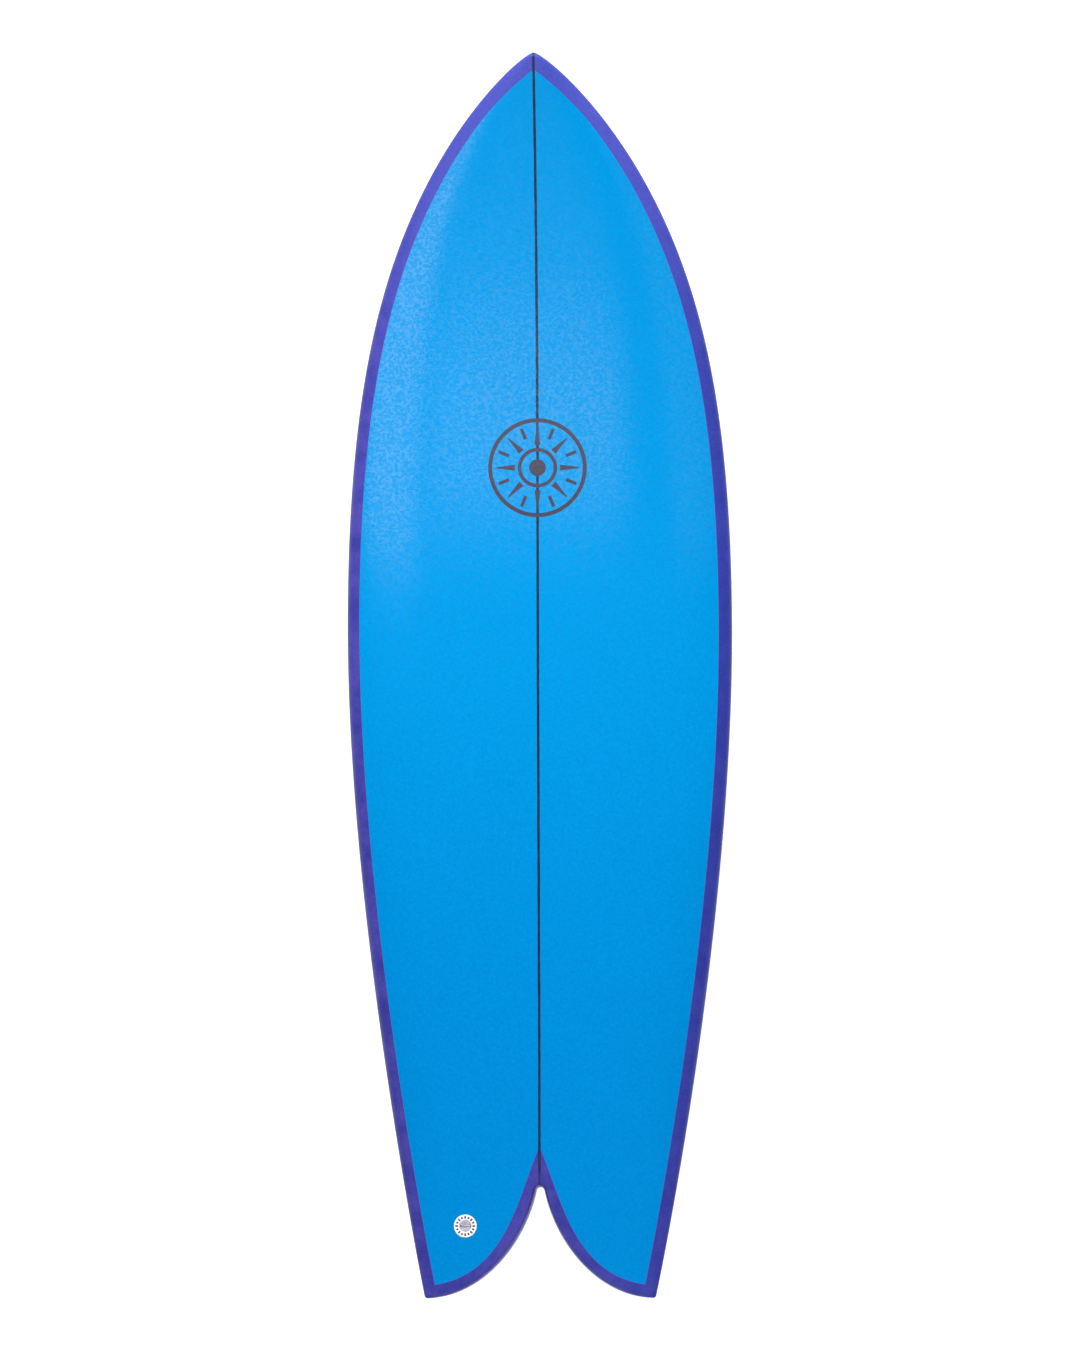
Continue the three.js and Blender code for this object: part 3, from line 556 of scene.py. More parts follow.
        w = spread["vee"]
        d, normal = self.rail_at(BODY_END + (VEE_END - BODY_END) * w)
        a = station(sizes.lap_meeting + (sizes.crack - sizes.lap_meeting) * w)
        still = np.zeros_like(a)
        at.append([a, cubic(lap_tail, LAP_AT_CRACK * w)[0], d - normal * lap, d])
        move.append([station(w), still, still, -normal])

        w = spread["lobe"] ** 1.3
        d, normal = self.rail_at(VEE_END + (LOBE_END - VEE_END) * w)
        a, into = self.notch(NOTCH_AT_LAP_TIP * w**1.25)
        still = np.zeros_like(a)
        at.append([a, cubic(lap_tail, LAP_AT_CRACK + (1 - LAP_AT_CRACK) * w)[0], d - normal * lap, d])
        move.append([into, still, still, -normal])

        w = spread["tip"][:, None]
        d, normal = self.rail_at(LOBE_END + (-self.half - LOBE_END) * w[:, 0])
        a, into = self.notch(NOTCH_AT_LAP_TIP + (1 - NOTCH_AT_LAP_TIP) * w[:, 0])
        middle = lap_tip + (self.tip - lap_tip) * w
        at.append([a, middle, middle, d])
        inset_tip = (up - tip_normal) * w
        move.append([into + (up - into) * w - tip_normal * w, inset_tip, inset_tip, -normal + up * w])

        self.at = np.concatenate([np.stack(corners, axis=1) for corners in at])
        self.move = np.concatenate([np.stack(corners, axis=1) for corners in move])
        self.at[-1] = self.tip  # every corner of the last rib is the tail point

    def strip(self, corners, shares, height, inset, rows=slice(None)):
        """Points on the ribs between two corners, at shares of the way, lifted to the deck or the bottom."""
        at = (self.at + self.move * inset)[rows]
        p, q = at[:, corners[0]], at[:, corners[1]]
        shares = np.broadcast_to(shares, (len(p), np.shape(shares)[-1]))
        plan = p[:, None] + (q - p)[:, None] * shares[..., None]
        x, y = plan[..., 0], plan[..., 1]
        z = height(x.ravel(), y.ravel(), inset).reshape(x.shape)
        return np.stack([*self.soften(x, y), z], axis=-1)

    def on_edge(self, grid, column, rows=slice(None)):
        """Puts a column of a grid, which lies on the outline or the notch, at the rail's height."""
        grid[rows, column, 2] = self.edge(grid[rows, column, 1])
        return grid

    def soften(self, x, y):
        """Rounds the tail point in plan: a small skewed square at the point is squeezed to a quarter disc."""
        radius = self.sizes.tip_radius
        rail = -self.rail_controls[2][3] + self.rail_controls[2][2]
        rail = rail / np.linalg.norm(rail)
        dx, dy = x - self.tip[0], y - self.tip[1]
        along_rail = dy / rail[1]
        along_notch = rail[0] * along_rail - dx
        p = 1 - np.clip(along_notch / radius, 0, 1)
        q = 1 - np.clip(along_rail / radius, 0, 1)
        dp = radius * p * (1 - np.sqrt(1 - q**2 / 2))
        dq = radius * q * (1 - np.sqrt(1 - p**2 / 2))
        return x - dp + rail[0] * dq, y + rail[1] * dq


def seat(height, x, y, toe=0.0):
    """The placing of a fitting in a surface: Z along the surface's normal, Y forward and turned in by toe."""
    step = 2 * MM
    probe_x = np.array([x + step, x - step, x, x, x])
    probe_y = np.array([y, y, y + step, y - step, y])
    z = height(probe_x, probe_y)
    up = Vector((-(z[0] - z[1]) / (2 * step), -(z[2] - z[3]) / (2 * step), 1)).normalized()
    right = Vector((-math.sin(toe), math.cos(toe), 0)).cross(up).normalized()
    forward = up.cross(right)
    matrix = Matrix((right, forward, up)).transposed().to_4x4()
    matrix.translation = (x, y, z[4])
    return np.array(matrix)


def moved(points, matrix):
    """Points of any shape carried by a 4 by 4 matrix."""
    return points @ matrix[:3, :3].T + matrix[:3, 3]


MIRROR = np.diag([-1.0, 1.0, 1.0, 1.0])


def turned(radius, height, angle):
    """Points at the given radii, heights and angles round the Z axis."""
    return np.stack([radius * np.cos(angle), radius * np.sin(angle), height + 0 * angle], axis=-1)


def lathe(profile, segments=96):
    """A turned surface: each (radius, height) point of the profile carried round the Z axis."""
    profile = np.array(profile, float)
    angle = np.linspace(0, 2 * math.pi, segments + 1)
    return turned(profile[:, 0][:, None], profile[:, 1][:, None], angle)


def fillet(radius, steps):
    """Quarter circle from (0, 0) to (radius, radius), which leaves along the first axis."""
    turn = np.linspace(0, math.pi / 2, steps)
    return radius * np.sin(turn), radius * (1 - np.cos(turn))


def stadium(half_length, half_breadth, insets, heights, segments=24):
    """Rings with two straight sides and two round ends, one for each (inset, height) pair, along Y."""
    insets, heights = np.array(insets)[:, None], np.array(heights)[:, None]
    front, rear = (np.linspace(start, start + math.pi, segments + 1) for start in (0, math.pi))
    angle = np.concatenate([front, rear, [0.0]])
    end = np.where(np.arange(len(angle)) <= segments, 1, -1)
    end[-1] = 1
    radius = half_breadth - insets
    x = radius * np.cos(angle)
    y = end * (half_length - half_breadth) + radius * np.sin(angle)
    return np.stack([x, y, heights + 0 * x], axis=-1)


def block(half_x, half_y, low, high, bevel):
    """A box with its vertical edges rounded and its ends eased, as rings of one rounded rectangle."""
    quarter = np.linspace(0, math.pi / 2, 7)
    angle = np.concatenate([quarter + turn * math.pi / 2 for turn in range(4)] + [[0.0]])
    corner_x = np.append(np.repeat([1, -1, -1, 1], 7), 1) * (half_x - bevel)
    corner_y = np.append(np.repeat([1, 1, -1, -1], 7), 1) * (half_y - bevel)
    insets = np.array([half_x, bevel, bevel * 0.3, 0, 0, bevel * 0.3, bevel, half_x])[:, None]
    rise = np.array([0, 0, bevel * 0.3, bevel])
    heights = np.concatenate([low + rise, high - rise[::-1]])
    shrink = np.clip((insets - bevel) / (half_x - bevel), 0, 1)
    x = corner_x * (1 - shrink) + (bevel - np.minimum(insets, bevel)) * np.cos(angle)
    y = corner_y * (1 - shrink) + (bevel - np.minimum(insets, bevel)) * np.sin(angle)
    return np.stack([x, y, heights[:, None] + 0 * x], axis=-1)


# ---------------------------------------------------------------- materials


class Wire:
    """A socket of a material's tree. Python's operators on it add Math nodes."""

    def __init__(self, paint, socket):
        self.paint, self.socket = paint, socket

    def math(self, operation, *values):
        """A Math node on wires and numbers."""
        return self.paint.node("Math", {"operation": operation}, dict(enumerate(values)))

    def __add__(self, other):
        return self.math("ADD", self, other)

    def __sub__(self, other):
        return self.math("SUBTRACT", self, other)

    def __rsub__(self, other):
        return self.math("SUBTRACT", other, self)

    def __mul__(self, other):
        return self.math("MULTIPLY", self, other)

    def sine(self):
        return self.math("SINE", self)

    def absolute(self):
        return self.math("ABSOLUTE", self)

    def smooth_step(self, start, end):
        """0 up to start and 1 from end, eased between them."""
        sockets = {"Value": self, "From Min": start, "From Max": end}
        return self.paint.node("MapRange", {"interpolation_type": "SMOOTHSTEP"}, sockets)

    __radd__ = __add__
    __rmul__ = __mul__


class Paint:
    """One material on the Principled shader."""

    def __init__(self, name, roughness, metallic=0.0, specular=0.5):
        self.material = bpy.data.materials.new(name)
        self.material.use_nodes = True
        self.tree = self.material.node_tree
        self.shader = self.tree.nodes["Principled BSDF"]
        self.shader.inputs["Roughness"].default_value = roughness
        self.shader.inputs["Metallic"].default_value = metallic
        self.shader.inputs["Specular IOR Level"].default_value = specular
        self.axes = self.node("SeparateXYZ", {}, {0: self.position()}, output=None)

    def node(self, kind, settings, sockets, output=0):
        """Adds a node: its settings are set first, then its sockets get values or links."""
        node = self.tree.nodes.new("ShaderNode" + kind)
        for key, value in settings.items():
            setattr(node, key, value)
        for key, value in sockets.items():
            if isinstance(value, Wire):
                self.tree.links.new(value.socket, node.inputs[key])
            else:
                node.inputs[key].default_value = value
        return node if output is None else Wire(self, node.outputs[output])

    def position(self):
        """Object coordinates."""
        return self.node("TexCoord", {}, {}, output="Object")

    def axis(self, name):
        """One of the object coordinates: X, Y or Z."""
        return Wire(self, self.axes.outputs[name])

    def stretched(self, x=1.0, y=1.0, z=1.0):
        """Object coordinates scaled along each axis."""
        return self.node("Mapping", {}, {"Vector": self.position(), "Scale": (x, y, z)})

    def noise(self, scale, detail=2.0, roughness=0.5, vector=None):
        """Noise from 0 to 1, with so many grains to the metre."""
        vector = vector or self.position()
        sockets = {"Vector": vector, "Scale": scale, "Detail": detail, "Roughness": roughness}
        return self.node("TexNoise", {}, sockets)

    def mix(self, mask, first, second):
        """Colours mixed by a mask from 0 to 1."""
        settings = {"data_type": "RGBA", "clamp_factor": True}
        first, second = (c if isinstance(c, Wire) else (*c, 1) for c in (first, second))
        return self.node("Mix", settings, {0: mask, 6: first, 7: second}, output=2)

    def brighten(self, shade, factor):
        """A colour scaled by a number."""
        return self.node("VectorMath", {"operation": "SCALE"}, {0: shade, "Scale": factor})

    def drive(self, name, value):
        """Links a value to a socket of the shader."""
        self.tree.links.new(value.socket, self.shader.inputs[name])

    def bump(self, height, distance):
        """Raises the surface in the light by a height from 0 to 1 over a distance."""
        self.drive("Normal", self.node("Bump", {}, {"Height": height, "Distance": distance, "Strength": 1.0}))


def shade(name):
    """A colour of the scene's settings as a tuple."""
    return tuple(getattr(bpy.context.scene.fish_colours, name))


def weave(paint, pitch):
    """Cloth's threads under the resin: the product of two sine waves along X and Y, from -1 to 1."""
    turn = 2 * math.pi / pitch
    return (paint.axis("X") * turn).sine() * (paint.axis("Y") * turn).sine()


def over_stringer(paint, resin, cover):
    """The stringer's dark wood through the resin: a ragged line with grain drawn out along it."""
    half = bpy.context.scene.fish_sizes.stringer / 2
    long = paint.stretched(1.0, 0.06, 1.0)
    grain = paint.noise(900.0, 4.0, 0.6, long).smooth_step(0.35, 0.75)
    wood = paint.mix(grain, shade("stringer"), shade("stringer_streak"))
    ragged = (paint.noise(260.0, 2.0, 0.6, long) - 0.5) * (0.9 * MM)
    line = 1 - (paint.axis("X").absolute() + ragged).smooth_step(half - 0.2 * MM, half + 0.45 * MM)
    return paint.mix(line * cover, resin, wood)


def deck_resin():
    """Blue tinted resin: darker towards the tail, and darker towards the nose by painted shade, with faint
    clouds, threads and sanding speckle.
    """
    paint = Paint("blue_resin", 0.2, specular=0.18)
    paint.shader.inputs["Coat Roughness"].default_value = 0.2
    tailward = paint.axis("Y").smooth_step(0.1, -0.6)
    # Painted shade: the blue darkens towards the nose to even out the lamp light there.
    tint = paint.mix(paint.axis("Y").smooth_step(-0.1, 0.5), shade("deck"), shade("deck_nose_shade"))
    tint = paint.mix(tailward, tint, shade("deck_tail"))
    clouds = (paint.noise(7.0, 3.0) - 0.5) * 0.06
    speckle = (paint.noise(270.0, 2.0, 0.7) - 0.5) * 0.4
    tint = paint.brighten(tint, 1 + clouds + speckle + weave(paint, CLOTH_PITCH) * 0.008)
    paint.drive("Base Color", over_stringer(paint, tint, 0.96))
    sanded = paint.noise(230.0, 2.0, 0.7)
    paint.drive("Roughness", 0.17 + sanded * 0.05)
    paint.drive("Coat Weight", sanded.smooth_step(0.43, 0.61))
    paint.bump(paint.noise(330.0, 2.0, 0.6) + weave(paint, CLOTH_PITCH) * 0.05, 0.00009)
    return paint.material


def lap_resin():
    """Violet tinted resin: pooled, deeper patches; painted sheen makes it lighter and bluer towards the nose,
    and painted shade makes it darker and bluer towards the right rail and on the right of the nose.
    """
    paint = Paint("violet_resin", 0.3, specular=0.14)
    pools = paint.noise(26.0, 3.0, 0.6).smooth_step(0.35, 0.68)
    tint = paint.mix(pools, shade("lap"), shade("lap_deep"))
    # Painted shade: a darker, bluer violet towards the right rail.
    tint = paint.mix(paint.axis("X").smooth_step(0.0, 0.3) * 0.7, tint, shade("lap_right_shade"))
    # Painted sheen: a lighter, bluer violet towards the nose.
    tint = paint.mix(paint.axis("Y").smooth_step(0.3, 0.85), tint, shade("lap_nose"))
    # Painted shade: a darker patch on the right of the nose.
    right_nose_shade = paint.axis("Y").smooth_step(0.77, 0.84) * paint.axis("X").smooth_step(-0.005, 0.02)
    tint = paint.mix(right_nose_shade * 0.3, tint, shade("lap_right_shade"))
    speckle = (paint.noise(330.0, 2.0, 0.7) - 0.5) * 0.6
    tint = paint.brighten(tint, 1 + speckle + weave(paint, CLOTH_PITCH) * 0.01)
    cover = paint.axis("Y").smooth_step(-0.7, -0.655) * 0.4 + 0.5
    paint.drive("Base Color", over_stringer(paint, tint, cover))
    paint.drive("Roughness", 0.28 + paint.noise(240.0) * 0.06)
    paint.bump(paint.noise(480.0, 2.0, 0.6), 0.00003)
    return paint.material


def fringe_resin():
    """The cut line, where the violet cloth's edge crosses the blue: it wavers between magenta and violet."""
    paint = Paint("cut_line", 0.3, specular=0.14)
    waver = paint.noise(90.0, 3.0, 0.65).smooth_step(0.38, 0.62)
    paint.drive("Base Color", over_stringer(paint, paint.mix(waver, shade("fringe"), shade("lap")), 0.9))
    return paint.material


def emblem_ink():
    """Printed ink under the cloth: slightly uneven cover."""
    paint = Paint("emblem_ink", 0.24)
    cover = paint.noise(300.0, 3.0, 0.7).smooth_step(0.3, 0.9)
    paint.drive("Base Color", paint.mix(cover * 0.35, shade("ink"), (0.10, 0.12, 0.20)))
    paint.bump(paint.noise(520.0, 2.0, 0.6), 0.00003)
    return paint.material


def white_plastic():
    """Moulded white plastic with a fine matt grain."""
    paint = Paint("white_plastic", 0.38)
    grain = paint.noise(900.0, 2.0)
    paint.drive("Base Color", paint.brighten(paint.mix(grain, shade("plug"), (0.9, 0.9, 0.92)), 1.0))
    paint.drive("Roughness", 0.34 + grain * 0.1)
    paint.bump(grain, 0.00002)
    return paint.material


def bowl_plastic():
    """The bowl's white plastic with painted light: a grey base colour that stands in for the shade in its
    recess, and a painted glow, though it is no lamp.
    """
    paint = Paint("bowl_plastic", 0.4)
    grain = paint.noise(500.0, 3.0)
    # Painted shade and glow: the grey stands in for the shade in the recess, and the emission makes the bowl
    # glow though it is no lamp.
    paint.drive("Base Color", paint.mix(grain, shade("bowl"), shade("plug")))
    paint.drive("Emission Color", paint.mix(grain, shade("bowl"), shade("plug")))
    paint.shader.inputs["Emission Strength"].default_value = 0.22
    return paint.material


def mark_plastic():
    """Dark printed marks, a little worn."""
    paint = Paint("dark_marks", 0.5)
    wear = paint.noise(700.0, 3.0)
    paint.drive("Base Color", paint.mix(wear * 0.4, shade("mark"), (0.22, 0.20, 0.26)))
    return paint.material


def brushed_steel():
    """Stainless steel drawn along X."""
    paint = Paint("stainless_steel", 0.5, 1.0)
    drawn = paint.noise(2600.0, 3.0, 0.6, paint.stretched(0.05, 1.0, 1.0))
    paint.drive("Base Color", paint.mix(drawn, shade("steel"), (0.36, 0.36, 0.38)))
    paint.drive("Roughness", 0.44 + drawn * 0.14)
    paint.bump(drawn, 0.00001)
    return paint.material


def fin_laminate():
    """Tinted fibreglass of the fins: layers of cloth show as threads along the blade and down it."""
    paint = Paint("fin_laminate", 0.16)
    turn = 2 * math.pi / (1.6 * MM)
    threads = (paint.axis("Y") * turn).sine() * (paint.axis("Z") * turn).sine()
    clouds = (paint.noise(38.0, 3.0) - 0.5) * 0.35
    tint = paint.mix(paint.noise(12.0), shade("fin"), shade("lap_deep"))
    paint.drive("Base Color", paint.brighten(tint, 1 + clouds + threads * 0.06))
    paint.drive("Roughness", 0.13 + paint.noise(160.0) * 0.07)
    return paint.material


def blank_foam():
    """Shaped polyurethane foam: fine open cells."""
    paint = Paint("blank_foam", 0.95)
    cells = paint.node("TexVoronoi", {}, {"Vector": paint.position(), "Scale": 1400.0})
    paint.drive("Base Color", paint.brighten(paint.mix(cells, shade("foam"), (0.7, 0.68, 0.6)), 0.98))
    paint.bump(cells, 0.0002)
    return paint.material


def bare_wood():
    """The stringer's wood below the resin."""
    paint = Paint("stringer_wood", 0.7)
    grain = paint.noise(700.0, 5.0, 0.65, paint.stretched(1.0, 0.03, 1.0)).smooth_step(0.3, 0.75)
    paint.drive("Base Color", paint.mix(grain, shade("wood"), tuple(0.45 * v for v in shade("wood"))))
    paint.bump(grain, 0.0001)
    return paint.material


def studio_floor():
    """Plain pale floor that glows a little, so shadows on it stay faint. From below it is clear."""
    paint = Paint("studio_floor", 0.9, specular=0.0)
    pale = paint.mix(paint.noise(0.8), shade("floor"), (0.97, 0.97, 0.97))
    paint.drive("Base Color", paint.brighten(pale, 0.55))
    paint.drive("Emission Color", pale)
    paint.shader.inputs["Emission Strength"].default_value = 0.9
    underside = paint.node("NewGeometry", {}, {}, output="Backfacing")
    clear = paint.node("BsdfTransparent", {}, {})
    surface = Wire(paint, paint.shader.outputs[0])
    faced = paint.node("MixShader", {}, {0: underside, 1: surface, 2: clear})
    paint.tree.links.new(faced.socket, paint.tree.nodes["Material Output"].inputs["Surface"])
    return paint.material


# ---------------------------------------------------------------- operators

def board_hull():
    """The hull with its ribs laid out."""
    hull = Hull(bpy.context.scene.fish_sizes)
    hull.ribs(RIB_COUNTS)
    return hull


def band_shares(hull):
    """Shares from the outline to the lap line, closest at the outline, and the last for the cut line."""
    even = np.linspace(0, 1, BAND_STEPS)
    return np.append((1 - hull.sizes.fringe / hull.sizes.lap) * even**1.8, 1.0)


def skin_strips(hull, height, inset):
    """The three strips of the deck or the bottom at an inset: outer band, crown and inner band."""
    starts, a, b, c, d = hull.starts, hull.A, hull.B, hull.C, hull.D
    band = band_shares(hull)
    outer = hull.on_edge(hull.strip((d, c), band, height, inset), 0)
    rows = slice(starts["body"], starts["tip"] + 1)
    crown = hull.strip((c, b), np.linspace(0, 1, CROWN_STEPS), height, inset, rows)
    inner = hull.strip((b, a), 1 - band[::-1], height, inset, slice(starts["vee"], None))
    hull.on_edge(inner, -1, slice(starts["lobe"] - starts["vee"], None))
    for strip in (outer, inner):
        hull.on_edge(strip, slice(None), slice(-1, None))
    return outer, crown, inner


def edge_grid(outside, inside, column):
    """The narrow wall between a column of one grid and the same column of another."""
    return np.stack([outside[:, column], inside[:, column]], axis=1)


class SURFBOARD_OT_deck(bpy.types.Operator):
    """Lay up the blue deck cloth inside the lap line"""

    bl_idname = "surfboard.deck"
    bl_label = "Deck skin"

    def execute(self, context):
        hull = board_hull()
        starts = hull.starts
        skin = Surface()
        faces = [skin_strips(hull, hull.deck, inset)[1] for inset in (0.0, context.scene.fish_sizes.glass)]
        vee = starts["vee"] - starts["body"]
        skin.twin(faces[0], 0, True)
        skin.twin(faces[1], 0, False)
        skin.twin(edge_grid(*faces, 0), 0, False)
        skin.twin(edge_grid(faces[0][vee:], faces[1][vee:], -1), 0, True)
        piece = skin.build("deck_skin", [deck_resin()])
        sizes = context.scene.fish_fittings
        place = seat(hull.deck, sizes.plug_x, sizes.plug_y)
        hole = Surface()
        radius = sizes.plug_radius + 0.05 * MM
        profile = [(0, -5 * MM), (radius, -5 * MM), (radius, 5 * MM), (0, 5 * MM)]
        hole.shell((moved(lathe(profile), place), 0))
        carve(piece, [hole.build("plug_cutter", [])])
        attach(piece, "board")
        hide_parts("deck_glass")
        return {"FINISHED"}


class SURFBOARD_OT_bottom(bpy.types.Operator):
    """Lay up the violet bottom cloth: bottom, rails, and the lap that ends on the deck in a cut line"""

    bl_idname = "surfboard.bottom"
    bl_label = "Bottom skin"

    def execute(self, context):
        hull = board_hull()
        starts = hull.starts
        vee, body = starts["vee"], starts["body"]
        skin = Surface()
        laps = []
        for inset in (0.0, context.scene.fish_sizes.glass):
            inside = inset > 0
            for strip in skin_strips(hull, hull.bottom, inset):
                skin.twin(strip, VIOLET, inside)
            outer, _, inner = skin_strips(hull, hull.deck, inset)
            outer_slots = np.full(np.subtract(outer.shape[:2], 1), VIOLET)
            inner_slots = np.full(np.subtract(inner.shape[:2], 1), VIOLET)
            outer_slots[body : starts["tip"], -1] = FRINGE
            inner_slots[: starts["tip"] - vee, 0] = FRINGE
            skin.twin(outer, outer_slots, not inside)
            skin.twin(inner, inner_slots, not inside)
            laps.append((outer[body : starts["tip"] + 1], inner[: starts["tip"] + 1 - vee]))
        skin.twin(edge_grid(laps[0][0], laps[1][0], -1), FRINGE, True)
        skin.twin(edge_grid(laps[0][1], laps[1][1], 0), FRINGE, False)
        piece = skin.build("bottom_skin", [lap_resin(), fringe_resin()])
        sizes = context.scene.fish_fittings
        place = seat(hull.bottom, sizes.fin_x, sizes.fin_y, sizes.fin_toe)
        insets, heights = [BOX_BREADTH, 0, 0, BOX_BREADTH], [-3 * MM, -3 * MM, 3 * MM, 3 * MM]
        rings = stadium(BOX_LENGTH, BOX_BREADTH, insets, heights)
        cutters = []
        for side in (place, MIRROR @ place):
            window = Surface()
            window.shell((moved(rings, side), 0))
            cutters.append(window.build("window_cutter", []))
        carve(piece, cutters)
        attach(piece, "board")
        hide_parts("bottom_glass")
        return {"FINISHED"}


class SURFBOARD_OT_emblem(bpy.types.Operator):
    """Print the round sun emblem: two rings, a dot, and long and short rays, just proud of the deck"""

    bl_idname = "surfboard.emblem"
    bl_label = "Emblem"

    def execute(self, context):
        sizes = context.scene.fish_fittings
        hull = Hull(context.scene.fish_sizes)
        print_layer = Surface()
        unit = sizes.emblem_radius / EMBLEM_RINGS[0][1]

        def patch(radius, angle, closed=False):
            """Prints a closed patch on a grid of polar places, between just under and just over the deck."""
            x = radius * unit * np.sin(angle)
            y = radius * unit * np.cos(angle) + sizes.emblem_y
            z = hull.deck(x.ravel(), y.ravel()).reshape(x.shape)
            top, under = (np.stack([x, y, z + lift], axis=-1) for lift in (INK_TOP, INK_UNDER))
            walls = [np.stack([top[i], under[i]], axis=0) for i in (0, -1)]
            sides = [] if closed else [np.stack([top[:, i], under[:, i]], axis=1) for i in (0, -1)]
            print_layer.grid(top, 0, True)
            print_layer.grid(under, 0, False)
            print_layer.grid(walls[0], 0, False)
            print_layer.grid(walls[1], 0, True)
            for side, flip in zip(sides, (False, True)):
                print_layer.grid(side, 0, flip)

        around = np.linspace(0, 2 * math.pi, 145)
        for inner, outer, steps in EMBLEM_RINGS:
            radius, angle = np.meshgrid(np.linspace(inner, outer, steps), around, indexing="ij")
            patch(radius, angle, True)
        along, across = np.meshgrid(np.linspace(0, 1, 14), np.linspace(-0.5, 0.5, 5), indexing="ij")
        for ray in range(EMBLEM_RAYS):
            inner, outer, root, end = LONG_RAY if ray % 2 == 0 else SHORT_RAY
            radius = inner + (outer - inner) * along
            middle = 2 * math.pi * ray / EMBLEM_RAYS
            patch(radius, middle + across * (root + (end - root) * along) / radius)
        piece = print_layer.build("emblem", [emblem_ink()])
        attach(piece, "board")
        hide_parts("deck_decal")
        return {"FINISHED"}


class SURFBOARD_OT_plug(bpy.types.Operator):
    """Set the leash plug: a white cup with a ring of marks, and the bar across its bowl"""

    bl_idname = "surfboard.plug"
    bl_label = "Leash plug"

    def execute(self, context):
        sizes = context.scene.fish_fittings
        hull = Hull(context.scene.fish_sizes)
        place = seat(hull.deck, sizes.plug_x, sizes.plug_y)
        rim, bowl, depth = sizes.plug_radius, sizes.bowl_radius, sizes.bowl_depth
        top = FACE_LIFT
        out, down = fillet(LIP_ROUND, 9)
        lip = list(zip(rim - LIP_ROUND + out[::-1], top - down[::-1]))
        face = [(r, top) for r in np.linspace(rim - LIP_ROUND - 0.2 * MM, bowl + MOUTH_ROUND + 0.2 * MM, 12)]
        out, down = fillet(MOUTH_ROUND, 9)
        mouth = list(zip(bowl + MOUTH_ROUND - out, top - down))
        out, down = fillet(BOWL_ROUND, 9)
        floor = list(zip(bowl - down, BOWL_ROUND - out - depth))
        under = [
            (0, -CUP_DEPTH),
            (CUP_BARREL - CUP_CHAMFER, -CUP_DEPTH),
            (CUP_BARREL, CUP_CHAMFER - CUP_DEPTH),
            (CUP_BARREL, -CUP_FLANGE),
            (rim, -CUP_FLANGE),
        ]
        cup = Surface()
        profile = under + lip + face + mouth + floor + [(0, -depth)]
        bowl_row = len(under + lip + face) + 4  # the painted grey and glow of the bowl start halfway round the mouth
        slots = np.where(np.arange(len(profile) - 1)[:, None] < bowl_row, 0, 2)
        cup.shell((flush(moved(lathe(profile, 128), place), hull, place), slots))
        for i in range(TICKS):
            reach = LONG_TICK if i % 2 == 0 else SHORT_TICK
            tick = block(TICK_HALF_WIDTH, reach / 2, 0.02 * MM, 0.26 * MM, 0.1 * MM) + [0, TICK_RADIUS, 0]
            spin = np.array(Matrix.Rotation(2 * math.pi * i / TICKS, 4, "Z"))
            cup.shell((flush(moved(moved(tick, spin), place), hull, place), 1))
        piece = cup.build("leash_cup", [white_plastic(), mark_plastic(), bowl_plastic()])
        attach(piece, "board")
        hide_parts("leash_plug_cup")

        pin = Surface()
        low, high = np.array(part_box("leash_plug_bar"))
        half = (high[0] - low[0]) / 2
        out, along = fillet(BAR_ROUND, 7)
        out = out * BAR_RADIUS / BAR_ROUND  # a flat dome over the whole end
        end = list(zip(out, along - half))
        profile = np.array(end + [(r, -h) for r, h in reversed(end)])
        bar = lathe(profile, 40)[..., [2, 0, 1]]
        pin.shell((moved(bar + [0, 0, -BAR_DROP], place), 0))
        piece = pin.build("leash_bar", [brushed_steel()])
        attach(piece, "board")
        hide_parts("leash_plug_bar")
        return {"FINISHED"}


def flush(points, hull, place):
    """Bends the top of a fitting to the deck: near the surface, a point keeps its height above the deck."""
    local = (points - place[:3, 3]) @ place[:3, :3]
    flat = points.reshape(-1, 3)
    deck = hull.deck(flat[:, 0], flat[:, 1]).reshape(points.shape[:-1])
    share = ease(-3 * MM, -0.8 * MM, local[..., 2])
    bent = points.copy()
    bent[..., 2] += share * (deck + local[..., 2] - points[..., 2])
    return bent


def screw_matrix(end):
    """The placing of the screw at the front or rear tab in its box: Z runs down the screw."""
    turn = Matrix.Rotation(-SCREW_TILT, 4, "Y")
    turn.translation = (SCREW_PLACE[0], end * SLOT_Y, SCREW_PLACE[1])
    return np.array(turn)


